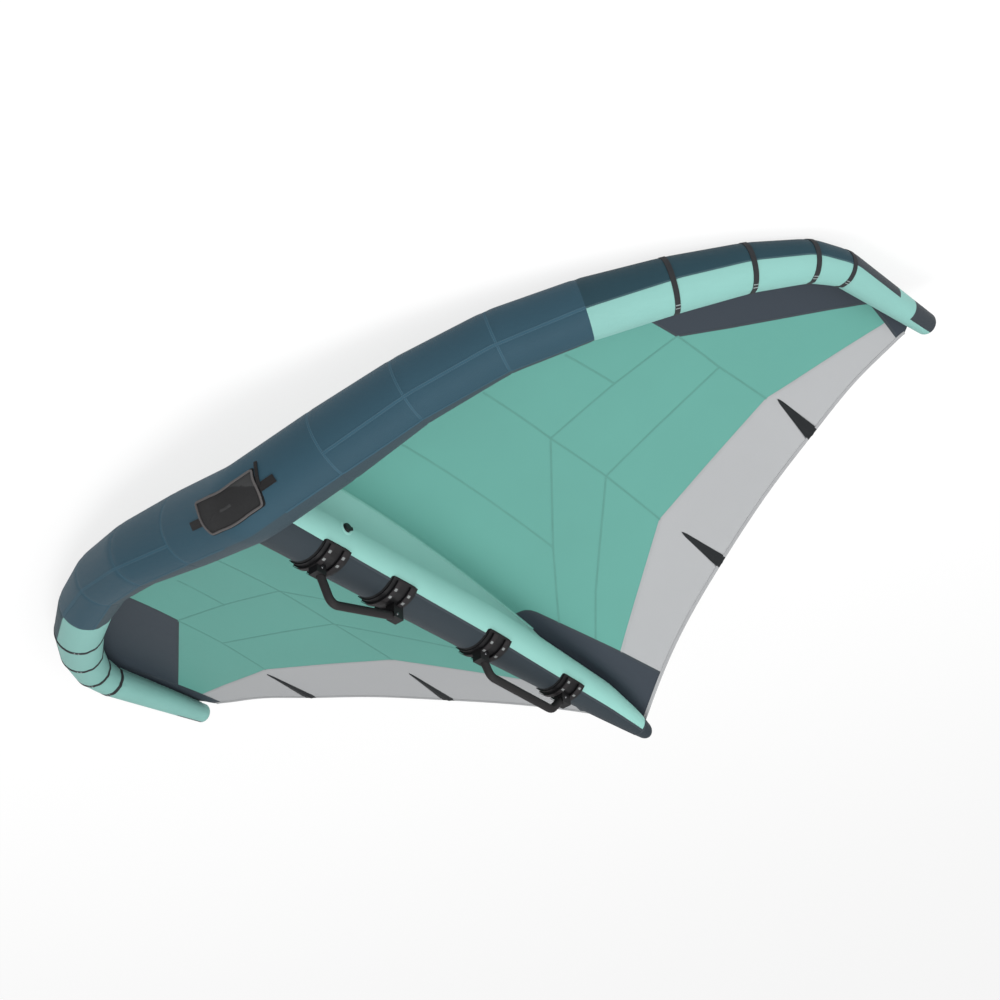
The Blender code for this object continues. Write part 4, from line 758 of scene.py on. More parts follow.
def build_leading_edge():
    """The tube's cloth in one skin, with rings closer together at each sewn bend."""
    marks = [0.0, TIP_ARC + TIP_STRIP_END, LE_LENGTH - TIP_PATCH_LENGTH]
    for a, b in zip(ARC[:-1], ARC[1:]):
        marks.extend(np.linspace(a, b, max(4, int((b - a) / RING_STEP)) + 1)[1:])
    for mark in ARC[1:-1]:
        marks.extend(mark + BEND_RINGS)
    marks = np.unique(np.round(marks, 6))
    end = LE_LENGTH - TIP_END_GAP
    marks = np.append(marks[marks < end + BEND_RINGS[2]], end)
    marks = np.concatenate([-marks[:0:-1], marks])
    angles = np.array([skin_angles(arc) for arc in marks])
    rows, columns = angles.shape
    points = list(le_surface(marks[:, None], angles).reshape(-1, 3))
    faces = grid_faces(rows, columns, wrap=True)
    kinds = []
    for i in range(rows - 1):
        arc = abs(marks[i] + marks[i + 1]) / 2
        for j in range(columns):
            angle = angles[i, j] + HALF_CELL
            front = j >= GREYER_BAND_CELLS + SEAT_CELLS
            kinds.append(skin_kind(arc, angle, front, j >= GREYER_BAND_CELLS and not front))
    for row, half in ((rows - 1, HALVES[0]), (0, MIRROR)):
        ring = np.array(points[row * columns:(row + 1) * columns])
        arc = marks[row]
        way = le_tangent(abs(arc))[0] * half
        centre = le_centre(arc)[0]
        tip_kinds = [skin_kind(abs(arc), a, False, False) for a in angles[row] + HALF_CELL]
        previous = row * columns
        for step in range(1, TIP_DOME_STEPS + 1):
            bend = step / TIP_DOME_STEPS * math.pi / 2
            scale = TIP_DOME_CORE + (1 - TIP_DOME_CORE) * math.cos(bend)
            start = len(points)
            points.extend(centre + (ring - centre) * scale + way * TIP_DOME * math.sin(bend))
            for j in range(columns):
                k = (j + 1) % columns
                faces.append((previous + j, previous + k, start + k, start + j))
            kinds += tip_kinds
            previous = start
        faces += [(previous + j, previous + (j + 1) % columns, len(points)) for j in range(columns)]
        kinds += tip_kinds
        points.append(centre + way * TIP_DOME)
    cloths = [TEAL_CLOTH, MINT_CLOTH, DARK_CLOTH, GREYER_BAND_CLOTH, STRIP_PAINTED_SHADE_CLOTH]
    skin = outward(piece("leading_edge_skin", points, faces, cloths, kinds, smooth=180, slot="teal_cloth"))
    open_main_mouth(skin)
    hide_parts("le_casing_centre", "le_casing_inner_left", "le_casing_inner_right",
                "le_casing_left", "le_casing_right", "le_tip_cap_left", "le_tip_cap_right")


# Valve mouths and bladders

MAIN_VALVE_ARC = 0.270
MAIN_VALVE_ANGLE = math.radians(-8)
MAIN_MOUTH = 0.0175
STRUT_VALVE_PLACE = 0.311
STRUT_VALVE_ANGLE = math.radians(-97)
STRUT_MOUTH = 0.0122
MOUTH_DEPTH = 0.04
MOUTH_FRAY = 1.7
FILM_SIDES = 32
FILM_INSET = 0.006
FILM_END = 0.03
LE_FILM_ROWS = 260
STRUT_FILM_ROWS = 120
STRUT_FILM_SPAN = (0.165, 1.79)
DENT_DEPTH = 0.034
DENT_SLOPE = 0.025
DENT_REACH = 1.8


def open_mouth(obj, origin, centre, radius):
    """Cuts a round hole in cloth or film where a valve's body stands."""
    origin, centre = (Vector(p) for p in to_world(np.array([origin, centre])))
    axis = (origin - centre).normalized()

    def away(face):
        reach = face.calc_center_median() - origin
        depth = reach.dot(axis)
        return (reach - axis * depth).length if abs(depth) < MOUTH_DEPTH else math.inf

    mesh = bmesh.new()
    mesh.from_mesh(obj.data)
    for _ in range(2):
        edges = {edge for face in mesh.faces if away(face) < MOUTH_FRAY * radius for edge in face.edges}
        bmesh.ops.subdivide_edges(mesh, edges=list(edges), cuts=2, use_grid_fill=True)
    inside = [face for face in mesh.faces if away(face) < radius]
    bmesh.ops.delete(mesh, geom=inside, context="FACES")
    mesh.to_mesh(obj.data)
    mesh.free()


def open_main_mouth(obj):
    origin = le_surface(MAIN_VALVE_ARC, MAIN_VALVE_ANGLE)
    open_mouth(obj, origin, le_centre(MAIN_VALVE_ARC)[0], MAIN_MOUTH)


def film(name, rings):
    """A closed film tube from its rings."""
    faces = grid_faces(len(rings), FILM_SIDES, wrap=True) + end_faces(len(rings), FILM_SIDES)
    return outward(piece(name, rings.reshape(-1, 3), faces, [FILM], smooth=60, slot="bladder_film"))


def build_bladders():
    """The clear film tubes inside the leading edge and the strut, which is drawn in at its valve."""
    turn = np.linspace(0, TAU, FILM_SIDES + 1)[:-1]
    run = np.linspace(-LE_LENGTH + FILM_END, LE_LENGTH - FILM_END, LE_FILM_ROWS)
    tube_film = film("leading_edge_film", le_surface(run[:, None], turn, -FILM_INSET, plain=True))
    open_main_mouth(tube_film)
    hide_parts("le_bladder")
    along = np.linspace(*STRUT_FILM_SPAN, STRUT_FILM_ROWS)[:, None]
    beside = strut_radius(along) * (turn - STRUT_VALVE_ANGLE - TAU)
    away = np.hypot(along - STRUT_VALVE_PLACE, beside)
    dent = DENT_DEPTH * np.clip(DENT_REACH - away / DENT_SLOPE, 0.0, 1.0)
    strut_film = film("strut_film", strut_point(along, turn, -FILM_INSET - dent))
    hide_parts("strut_bladder")


# Leading edge seams

# Start, end, line on the tube, width, lift and cloth of each lengthwise seam
SEAM_RUNS = (
    (ARC[1], BREAK_ARC, seam_angle, 0.012, 0.0006, 0),
    (BREAK_ARC, TIP_ARC, seam_angle, 0.005, 0.0005, 1),
    (0.10, BREAK_ARC, greyer_band_angle, 0.007, 0.0006, 0),
)
SEAT_SEAM_ANGLE = SEAT_ANGLE - math.radians(5)
SEAT_SEAM_START = 0.115
SEAT_SEAM_END = 0.03
BAND_START = SEAT_ANGLE - math.radians(6)
BAND_TURN = TAU - math.radians(14)
KNOT_ANGLES = (-95, -86)
KNOT_HALF_ANGLE = 1.3


def le_normals(arc, angle):
    aft, down = le_frame(arc)
    turn = np.broadcast_to(np.asarray(angle, float), (len(np.atleast_1d(arc)),))[:, None]
    return np.cos(turn) * aft + np.sin(turn) * down


def le_strip(strips, arc, angle, width, lift, kind=0, offset=0.0, thickness=0.0, plain=False):
    """A ribbon on the leading edge tube."""
    line = le_surface(arc, angle, offset, plain)
    strips.add(line, le_normals(arc, angle), width, lift, kind, thickness)


def build_le_seams():
    strips = Strips()
    for side in (1, -1):
        for number in (1, 2, 3):
            turn = np.linspace(SEAT_ANGLE - TAU, float(greyer_band_angle(ARC[number])), 80)
            le_strip(strips, np.full(len(turn), side * ARC[number]), turn, 0.010, 0.0006)
        for start, end, line_angle, width, lift, kind in SEAM_RUNS:
            run = side * np.linspace(start, end, 110)
            le_strip(strips, run, line_angle(run), width, lift, kind)
        run = side * np.linspace(SEAT_SEAM_START, LE_LENGTH - SEAT_SEAM_END, 240)
        parting = int((np.abs(run) < BREAK_ARC).sum())
        le_strip(strips, run[:parting], SEAT_SEAM_ANGLE, 0.012, 0.0008)
        le_strip(strips, run[parting - 1:], SEAT_SEAM_ANGLE, 0.010, 0.0008, 2)
    strips.build("leading_edge_seams", [TEAL_SEAM, EDGE_SEAM, MINT_SEAM], slot="teal_cloth")
    bands = Strips()
    turn = np.linspace(BAND_START - BAND_TURN, BAND_START, 100)
    for side in (1, -1):
        for number in (5, 6, 7, 8):
            arc = side * ARC[number]
            le_strip(bands, np.full(len(turn), arc), turn, 0.0165, 0.0003, 0, 0.0016, 0.0010)
            for middle in KNOT_ANGLES:
                knot = np.radians(np.linspace(middle - KNOT_HALF_ANGLE, middle + KNOT_HALF_ANGLE, 4))
                le_strip(bands, np.full(len(knot), arc), knot, 0.0150, 0.0002, 1, 0.0030, 0.0004)
    bands.build("leading_edge_bands", [BAND, BAND_THREAD], slot="dark_cloth")


# Canopy

SEAM_PLAN = {
    "back": ((0.0, 1.135), (0.030, 1.150), (0.050, 1.157), (0.063, 1.165), (0.072, 1.178), (0.079, 1.198),
             (0.143, 1.549), (0.577, 1.233), (1.085, 1.137), (1.487, 1.217)),
    "tip": ((1.073, 0.711), (1.506, 1.108)),
}
TIP_FRONT = (0.4935, 0.0)
CENTRE_SIDE_START = (0.143, 1.549)
CENTRE_SIDE_END = (0.072, 1.0)
CANOPY_COLUMNS = 74
CANOPY_DEPTH = 1.3
SEAM_CLEARANCE = 0.005
SHEET_THICKNESS = 0.0005


def seam_line(points, step=0.012):
    """Span and chord shares along a seam drawn in plan."""
    points = np.array(points, float)
    out = []
    for a, b in zip(points[:-1], points[1:]):
        count = max(2, int(np.linalg.norm(b - a) / step))
        for k in range(count):
            out.append(a + (b - a) * k / count)
    out.append(points[-1])
    out = np.array(out)
    return plan_to_share(out[:, 0], out[:, 1])


def build_canopy():
    """One sheet, cut along its seams, so that each panel has its own cloth."""
    lines = {}
    lines["corner"] = np.linspace((CORNER_FRONT, 0.0), (CORNER_BACK, 1.0), 70)
    lines["back"] = clip_line(seam_line(SEAM_PLAN["back"]), lines["corner"])
    lines["tip"] = clip_line(seam_line(SEAM_PLAN["tip"]), lines["corner"])
    lines["tip_front"] = np.linspace(TIP_FRONT, lines["tip"][0], 24)
    lines["centre_side"] = np.linspace(plan_to_share(*zip(CENTRE_SIDE_START))[0], CENTRE_SIDE_END, 20)
    spans = np.unique(np.concatenate([np.linspace(0.0, 0.9, 91), np.linspace(0.9, CANOPY_END, 16)]))
    chords = np.linspace(0.0, 1.0, CANOPY_COLUMNS)
    scale = np.array([LE_LENGTH, CANOPY_DEPTH])
    verts = [(u, t) for u in spans for t in chords]
    edges = []
    near = []
    for line in lines.values():
        edges += [(k, k + 1) for k in range(len(verts), len(verts) + len(line) - 1)]
        verts += [tuple(point) for point in line]
        near += list(line)
    near = np.array(near) * scale
    keep = np.ones(len(verts), bool)
    for k, (u, t) in enumerate(verts[:len(spans) * len(chords)]):
        rim = u in (0.0, spans[-1]) or t in (0.0, 1.0)
        if not rim and np.min(((near - scale * (u, t)) ** 2).sum(1)) < SEAM_CLEARANCE**2:
            keep[k] = False
    index = np.cumsum(keep) - 1
    chosen = [Vector((v[0] * scale[0], v[1] * scale[1])) for v, k in zip(verts, keep) if k]
    chosen_edges = [(int(index[a]), int(index[b])) for a, b in edges]
    out = delaunay_2d_cdt(chosen, chosen_edges, [], 0, 1e-6)
    flat = np.array([(v.x, v.y) for v in out[0]]) / scale
    triangles = np.array([f for f in out[2] if len(f) == 3])
    centres = flat[triangles].mean(axis=1)
    kinds = panel_of(centres, lines)
    right = canopy_point(flat[:, 0], flat[:, 1])
    left_index = np.zeros(len(flat), int)
    points = list(right)
    for k, (u, t) in enumerate(flat):
        if u < 1e-9:
            left_index[k] = k
        else:
            left_index[k] = len(points)
            points.append(right[k] * MIRROR)
    faces = [tuple(t) for t in triangles]
    first, second, third = (right[triangles[:, k]] for k in range(3))
    normal = np.cross(second - first, third - first)
    if normal[:, 2].mean() < 0:
        faces = [f[::-1] for f in faces]
    faces += [tuple(left_index[list(f)])[::-1] for f in faces]
    kinds = list(kinds) * 2
    sheet = piece("canopy_sheet", points, faces, [SAIL_MINT, SAIL_GREY, SAIL_DARK], kinds,
                  smooth=180, slot="mint_canopy")
    thick = sheet.modifiers.new("thickness", "SOLIDIFY")
    thick.thickness = SHEET_THICKNESS
    thick.offset = 0.0
    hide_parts(*[f"canopy_{kind}_{side}" for kind in
                         ("main", "tip_panel", "grey_panel", "centre_panel", "tip_corner")
                         for side in ("left", "right")])
    return lines


def clip_line(line, corner):
    """The part of a seam within the corner patch's border, ending exactly on it."""
    border = CORNER_FRONT + (CORNER_BACK - CORNER_FRONT) * line[:, 1]
    over = line[:, 0] - border
    inside = line[over <= 0]
    if (over > 0).any():
        k = int(np.argmax(over > 0))
        share = -over[k - 1] / (over[k] - over[k - 1])
        inside = np.vstack([line[:k], line[k - 1] + (line[k] - line[k - 1]) * share])
    return inside


def panel_of(centres, lines):
    """0 mint, 1 grey, 2 dark, for the middle of each face."""
    u = centres[:, 0]
    t = centres[:, 1]
    back = np.interp(u, *lines["back"].T)
    tip = np.interp(u, *lines["tip"].T)
    front = lines["tip_front"]
    slope = np.interp(t, front[:, 1], front[:, 0])
    kinds = np.zeros(len(u), int)
    kinds[t > back] = 1
    side = lines["centre_side"]
    border = np.interp(t, side[:, 1], side[:, 0])
    kinds[(t > back) & (u < border)] = 2
    in_tip = (u > slope) & (t < tip) & (u > front[:, 0].min())
    in_tip &= (t < front[-1, 1]) | (u > front[-1, 0])
    kinds[in_tip] = 2
    kinds[u > CORNER_FRONT + (CORNER_BACK - CORNER_FRONT) * t] = 2
    return kinds


def canopy_normals(flat):
    step = 0.002
    u = np.clip(flat[:, 0], step, CANOPY_END - step)
    t = np.clip(flat[:, 1], step, 1 - step)
    across = canopy_point(u + step, t) - canopy_point(u - step, t)
    along = canopy_point(u, t + step) - canopy_point(u, t - step)
    normal = np.cross(across, along)
    normal[normal[:, 2] < 0] *= -1
    return normal / np.linalg.norm(normal, axis=1, keepdims=True)


MINT_SEAMS = (
    ((0.303, 0.30), (0.289, 1.044)),
    ((0.590, 0.38), (0.580, 0.70), (0.584, 0.958), (0.577, 1.233)),
    ((0.827, 0.48), (0.837, 0.70)),
    ((1.073, 0.711), (1.072, 0.917), (1.085, 1.137)),
    ((0.580, 0.70), (0.837, 0.70), (1.073, 0.711)),
    ((0.584, 0.958), (1.072, 0.917)),
    ((0.580, 0.70), (0.289, 1.044), (0.135, 1.241), (0.098, 1.290)),
    ((0.584, 0.958), (0.251, 1.295), (0.125, 1.440)),
)


def both_faces(strips, flat, width, lift, kind=0):
    """A ribbon along a line of the canopy, on both faces of both halves."""
    line = canopy_point(flat[:, 0], flat[:, 1])
    normals = canopy_normals(flat)
    for face in (1, -1):
        for half in HALVES:
            strips.add(line * half, normals * half * face, width, lift, kind)


def build_canopy_seams(lines):
    strips = Strips()
    for seam in MINT_SEAMS:
        both_faces(strips, seam_line(seam, 0.02), 0.0065, 0.0005)
    back = lines["back"]
    corner_place = int(np.argmin(np.abs(back - lines["centre_side"][0]).sum(axis=1)))
    both_faces(strips, back[:corner_place + 1], 0.009, 0.0005, 2)
    both_faces(strips, back[corner_place:], 0.009, 0.0005, 1)
    for name in ("tip", "tip_front", "centre_side", "corner"):
        both_faces(strips, lines[name], 0.009, 0.0005, 2)
    strips.build("canopy_seams", [SAIL_SEAM, GREY_SEAM, DARK_SEAM], slot="mint_canopy")


HEM_WIDTH = 0.0125
HEM_INSET = 0.006


def build_hem():
    strips = Strips()
    u = np.linspace(0.0, CANOPY_END, 220)
    chord = np.linalg.norm(canopy_point(u, 1.0) - canopy_point(u, 0.0), axis=1)
    both_faces(strips, np.stack([u, 1 - HEM_INSET / chord], axis=1), HEM_WIDTH, 0.0009)
    hem = strips.build("trailing_hem", [HEM_TAPE], slot="dark_cloth")
    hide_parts("trailing_edge_hem")


POCKET_LENGTH = 0.205
POCKET_WIDTH = 0.050
POCKET_POINT = 0.0085
POCKET_LIFT = 0.0009
BATTEN_BULGE = 0.0022
BATTEN_REACH = 0.006
POCKET_ROWS = 26
POCKET_COLUMNS = 9


def build_battens():
    """Wedge pockets with rounded points on the trailing edge, raised over their battens."""
    points = []
    faces = []
    uvs = []
    w = np.linspace(0.0, 1.0, POCKET_ROWS)
    s = np.linspace(-0.5, 0.5, POCKET_COLUMNS)
    for share in BATTEN_SHARES:
        chord = float(np.linalg.norm(te_point(share)[0] - seat_point(share)))
        down = 1 - POCKET_LENGTH / chord * (1 - w)
        width = POCKET_WIDTH * w + POCKET_POINT * np.minimum(1.0, (w * 9) ** 0.5)
        middle = canopy_point(share, down)
        across = canopy_point(share + 0.004, down) - middle
        across *= (width / np.linalg.norm(across, axis=1))[:, None]
        normal = canopy_normals(np.stack([np.full(POCKET_ROWS, share), down], axis=1))
        bulge = BATTEN_BULGE * np.exp(-((s * width[:, None] / BATTEN_REACH) ** 2))
        lift = np.where(np.abs(s) < 0.49, POCKET_LIFT + bulge, -0.0003)
        flat = middle[:, None] + across[:, None] * s[:, None]
        for half in HALVES:
            for face in (1, -1):
                faces += grid_faces(POCKET_ROWS, POCKET_COLUMNS, len(points))
                points.extend(((flat + normal[:, None] * face * lift[..., None]) * half).reshape(-1, 3))
                uvs += [(run * chord, place + 0.5) for run in down for place in s]
    obj = piece("batten_pockets", points, faces, [POCKET], uvs=uvs, smooth=60, slot="dark_cloth")
    names = [f"batten_patch_{place}_{side}" for place in ("inner", "outer") for side in ("left", "right")]
    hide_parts(*names)


# Strut

STRUT_BODY_START = 0.30
STRUT_FRONT_ROWS = 12
LOWER_COLUMNS = 17
UPPER_COLUMNS = 43
LE_CLEARANCE = -0.0015
TAIL_RINGS = 15
TAIL_SIDES = 56
TAIL_ROUND_START = 0.55
PATCH_SIDES = 56


def span_angles(place, columns, upper):
    """Angles across the lower or the upper sleeve at one place along the strut."""
    half = float(sleeve_angle(np.array([place]))[0])
    return np.linspace(half, TAU - half, columns) if upper else np.linspace(-half, half, columns)


def sleeve(name, columns, upper, places, material, slot):
    """One sleeve of the strut's cloth, cut at its front to the leading edge tube."""
    front = span_angles(0.15, columns, upper)
    starts = [clear_of_le(*strut_point(0.15, a)[[0, 2]], LE_CLEARANCE) for a in front]
    grid = []
    for step in range(STRUT_FRONT_ROWS):
        run = [start + (STRUT_BODY_START - start) * step / STRUT_FRONT_ROWS for start in starts]
        grid.append([strut_point(place, span_angles(place, columns, upper)[j])
                     for j, place in enumerate(run)])
    for place in places:
        grid.append([strut_point(place, a) for a in span_angles(place, columns, upper)])
    return piece(name, grid, grid_faces(len(grid), columns), [material], smooth=180, slot=slot)


def build_strut():
    places = np.unique(np.concatenate([np.linspace(STRUT_BODY_START, TAIL_START, 110), STRUT_KNOTS[1:4]]))
    lower = sleeve("strut_lower", LOWER_COLUMNS, False, places, SLEEVE_CLOTH, "dark_cloth")
    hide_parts("strut_sleeve_lower")
    upper = sleeve("strut_upper", UPPER_COLUMNS, True, places, STRUT_MINT, "mint_cloth")
    valve = strut_point(STRUT_VALVE_PLACE, STRUT_VALVE_ANGLE)
    middle = strut_point(STRUT_VALVE_PLACE, 0.0, -strut_radius(STRUT_VALVE_PLACE))
    open_mouth(upper, valve, middle, STRUT_MOUTH)
    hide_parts("strut_sleeve_upper")
    build_tail()
    build_webs()
    build_valve_patch()
    strips = Strips()
    for side in (1, -1):
        strut_strip(strips, places, side * sleeve_angle(places), 0.0, 0.008, 0.0005)
    around = np.linspace(0, TAU, 73)
    strut_strip(strips, np.full(len(around), TAIL_START), around, 0.0, 0.009, 0.0007, closed=True)
    strips.build("strut_seams", [DARK_SEAM], slot="dark_cloth")


def build_tail():
    """The tail cap, straight at first and then drawn in to a blunt round end."""
    rings = []
    angles = np.linspace(0, TAU, TAIL_SIDES, endpoint=False)
    spokes = np.stack([np.sin(angles), np.zeros(TAIL_SIDES), np.cos(angles)], axis=1)
    for share in np.linspace(0, 1, TAIL_RINGS):
        place = TAIL_START + (STRUT_LENGTH - TAIL_START) * (1 - (1 - share) ** 1.3)
        w = (place - TAIL_START) / (STRUT_LENGTH - TAIL_START)
        rounding = max(0.0, (w - TAIL_ROUND_START) / (1 - TAIL_ROUND_START))
        shrink = math.sqrt(max(0.0, 1 - rounding**2.4))
        radius = float(strut_radius(place))
        rings.append(np.array([0.0, place, STRUT_TOP - radius]) + spokes * (radius * max(shrink, 0.03)))
    faces = grid_faces(len(rings), TAIL_SIDES, wrap=True) + end_faces(len(rings), TAIL_SIDES)[1:]
    tail = outward(piece("strut_tail", rings, faces, [SLEEVE_CLOTH], smooth=50, slot="dark_cloth"))
    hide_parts("strut_tail_cap")


# Radius and lift of each ring of the patch about the strut's valve
PATCH_RINGS = ((0.0157, 0.0001), (0.0160, 0.0013), (0.0228, 0.0012), (0.0234, -0.0003))


def build_valve_patch():
    """The round patch that is glued to the strut about its valve."""
    points = []
    for radius, lift in PATCH_RINGS:
        for i in range(PATCH_SIDES):
            a = TAU * i / PATCH_SIDES
            place = STRUT_VALVE_PLACE + radius * math.cos(a)
            angle = STRUT_VALVE_ANGLE + radius * math.sin(a) / float(strut_radius(place))
            points.append(strut_point(place, angle, lift))
    faces = grid_faces(len(PATCH_RINGS), PATCH_SIDES, wrap=True)
    piece("strut_valve_patch", points, faces, [RING_MINT], smooth=60, slot="mint_cloth")


WEB_SEAT_ANGLE = math.radians(112)
WEB_FRONT_OFFSET = 0.088
WEB_BACK_OFFSET = 0.026
WEB_START = 0.10
WEB_END = 1.24
WEB_ROWS = 40
WEB_COLUMNS = 12
WEB_HOLLOW = 0.012
WEB_FOOT_LIFT = 0.0006


def canopy_height(x, y):
    flat = plan_to_share([x], [y])[0]
    return float(canopy_point([flat[0]], [flat[1]])[0][2])


def web_point(place, down, height=None):
    """A place on the web, down from 0 on the strut to 1 on the canopy."""
    share = place / WEB_END
    offset = WEB_FRONT_OFFSET + (WEB_BACK_OFFSET - WEB_FRONT_OFFSET) * share
    if height is None:
        height = canopy_height(offset, place) + WEB_FOOT_LIFT
    top = strut_point(place, WEB_SEAT_ANGLE, 0.0003)
    line = top + (np.array([offset, place, height]) - top) * down
    hollow = WEB_HOLLOW * math.sin(math.pi * down) * (1 - share)
    return line - np.array([hollow, 0.0, 0.0])


def build_webs():
    """The fairings that carry the strut's mint cloth out to the canopy on each side."""
    seat = WEB_START + (WEB_END - WEB_START) * np.arange(WEB_ROWS) / (WEB_ROWS - 1)
    heights = [web_point(place, 1.0)[2] for place in seat]
    downs = np.arange(WEB_COLUMNS) / (WEB_COLUMNS - 1)
    starts = []
    for down in downs:
        place = WEB_START
        for _ in range(6):
            point = web_point(place, down)
            place = clear_of_le(point[0], point[2], LE_CLEARANCE)
        starts.append(place)
    grid = []
    for i in range(WEB_ROWS):
        places = [start + (WEB_END - start) * i / (WEB_ROWS - 1) for start in starts]
        grid.append([web_point(place, down, np.interp(place, seat, heights))
                     for place, down in zip(places, downs)])
    grid = np.array(grid)
    faces = grid_faces(WEB_ROWS, WEB_COLUMNS) + grid_faces(WEB_ROWS, WEB_COLUMNS, WEB_ROWS * WEB_COLUMNS)
    webs = piece("strut_webs", [grid, grid * MIRROR], faces, [STRUT_MINT], smooth=180, slot="mint_cloth")
    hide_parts("strut_web_left", "strut_web_right")
    strips = Strips()
    line = grid[:, -1] + np.array([0.002, 0.0, 0.0005])
    up = np.broadcast_to(np.array([0.5, 0.0, 0.87]), line.shape)
    for half in HALVES:
        strips.add(line * half, up * half, 0.007, 0.0006)
    strips.build("web_seams", [WEB_SEAM], slot="mint_cloth")


# Brackets and grips

BRACKET_PLACES = (0.290, 0.580, 1.020, 1.395)
FRONT_GRIP_ROUTE = ((0.282, 0.118), (0.329, 0.209), (0.590, 0.137))
REAR_GRIP_ROUTE = ((1.008, 0.118), (1.041, 0.171), (1.335, 0.176), (1.386, 0.122))
GRIP_BEND = 0.034
FOAM_RADIUS = 0.0135
FOAM_END_DRAW = 0.0012


def rounded_route(corners, radius, steps):
    corners = [np.array(c, float) for c in corners]
    points = [corners[0]]
    for k in range(1, len(corners) - 1):
        before = corners[k - 1] - corners[k]
        after = corners[k + 1] - corners[k]
        before /= np.linalg.norm(before)
        after /= np.linalg.norm(after)
        half = math.acos(float(np.clip(before.dot(after), -1, 1))) / 2
        back = radius / math.tan(half)
        middle = before + after
        middle /= np.linalg.norm(middle)
        centre = corners[k] + middle * radius / math.sin(half)
        first = corners[k] + before * back - centre
        last = corners[k] + after * back - centre
        turn = math.acos(float(np.clip(first.dot(last) / radius**2, -1, 1)))
        for step in range(steps + 1):
            w = step / steps
            mix = first * math.sin((1 - w) * turn) + last * math.sin(w * turn)
            points.append(centre + mix / math.sin(turn))
    points.append(corners[-1])
    return np.array(points)


def resample(path, step):
    run = run_lengths(path)
    at = np.linspace(0, run[-1], max(2, int(run[-1] / step)) + 1)
    return np.stack([np.interp(at, run, path[:, k]) for k in range(3)], axis=1)


def build_grips():
    for name, route in (("front", FRONT_GRIP_ROUTE), ("rear", REAR_GRIP_ROUTE)):
        path = rounded_route([(0.0, y, z) for y, z in route], GRIP_BEND, 12)
        path = resample(path, 0.004)
        count = len(path)
        ends = np.minimum(np.arange(count), np.arange(count)[::-1])
        radius = FOAM_RADIUS - FOAM_END_DRAW * np.exp(-ends / 1.5)
        points, faces, uvs = tube(path, radius, sides=28)
        grip = piece(f"{name}_grip", points, faces, [BLACK_FOAM], uvs=uvs, smooth=50, slot="black_foam")
        outward(grip)
        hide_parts(f"{name}_grip_foam")


STITCH_ANGLES = ((-38, -22), (-34, -18), (-33, -12), (-41, -20))
STRAP_HALF_ANGLE = math.radians(50)
PATCH_HALF_ANGLE = math.radians(56.5)
PATCH_LENGTH = 0.120
PATCH_LIFT = 0.0022
PATCH_ROWS = 15
PATCH_COLUMNS = 41
STRAP_SHIFT = 0.028
STITCH_HALF_ANGLE = 2.6


def build_brackets():
    """The patch under each bracket and the two straps over it, with their stitch marks."""
    s, c = np.meshgrid(np.linspace(-1, 1, PATCH_ROWS), np.linspace(-1, 1, PATCH_COLUMNS), indexing="ij")
    reach = PATCH_HALF_ANGLE * (1 - 0.07 * np.abs(s) ** 10)
    squeeze = 1 - 0.05 * np.abs(c) ** 10
    lift = np.where((np.abs(s) < 0.99) & (np.abs(c) < 0.99), PATCH_LIFT, -EDGE_SINK)
    strap_turn = np.linspace(-STRAP_HALF_ANGLE, STRAP_HALF_ANGLE, 41)
    strips = Strips()
    for number, place in enumerate(BRACKET_PLACES):
        points = strut_point(place + s * squeeze * PATCH_LENGTH / 2, reach * c, lift)
        bracket_patch = piece(f"patch_{number + 1}", points, grid_faces(PATCH_ROWS, PATCH_COLUMNS),
                              [PATCH_CLOTH], slot="dark_cloth")
        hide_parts(f"bracket_patch_{number + 1}")
        for shift in (-STRAP_SHIFT, STRAP_SHIFT):
            where = np.full(len(strap_turn), place + shift)
            strut_strip(strips, where, strap_turn, 0.0137, 0.0178, 0.0, 0, 0.0012)
            for middle in STITCH_ANGLES[number]:
                turn = np.radians(np.linspace(middle - STITCH_HALF_ANGLE, middle + STITCH_HALF_ANGLE, 5))
                strut_strip(strips, np.full(len(turn), place + shift), turn, 0.0150, 0.0105, 0.0, 1, 0.0006)
    strips.build("bracket_straps", [BROWN_WEB, STITCH_THREAD], slot="webbing")


# Front handle

PAD_LOW = math.radians(29.5)
PAD_HIGH = math.radians(77.5)
PAD_WIDTHS = ((29.5, 0.066), (55.0, 0.0825), (77.5, 0.0925))
PAD_TUBE_RADIUS = 0.12
PAD_ROUND = 0.13
# Scale, spread and lift of the patch's rings, and scales of the pad's rings, from the rim inwards
HANDLE_PATCH_RINGS = ((1.0, 0.0085, -0.0004), (1.0, 0.0080, 0.0015), (1.0, 0.0, 0.0019),
                      (0.6, 0.0, 0.0019), (0.2, 0.0, 0.0019))
PAD_SCALES = (1.0, 0.985, 0.95, 0.90, 0.84, 0.78, 0.71, 0.64, 0.56, 0.48, 0.40, 0.32, 0.24, 0.16, 0.08)
PAD_BASE_LIFT = 0.0021
TAB_FORWARD = math.radians(50.5)
# Arc and degrees forward along the short strap
STRAP_ROUTE = ((-0.0915, 53.0), (-0.0965, 61.0), (-0.103, 70.0), (-0.108, 78.0), (-0.1125, 86.0))


def pad_place(x, y, spread=0.0):
    """Arc and forward angle of a place on the handle, x and y from -1 to 1 across and round."""
    forward = (PAD_LOW + PAD_HIGH) / 2 + (PAD_HIGH - PAD_LOW) / 2 * np.asarray(y, float)
    width = np.interp(np.degrees(forward), *np.array(PAD_WIDTHS).T)
    arc = (width + spread) * np.asarray(x, float)
    return arc, forward + spread / PAD_TUBE_RADIUS * np.asarray(y, float)


# Ends of the fold, then the crease's start and run, as arc and degrees forward on the tube
FOLD_ENDS = ((0.0, 79.0), (-0.083, 54.0))
CREASE_START = (0.044, 47.0)
CREASE_RUN = (-0.038, 8.5)


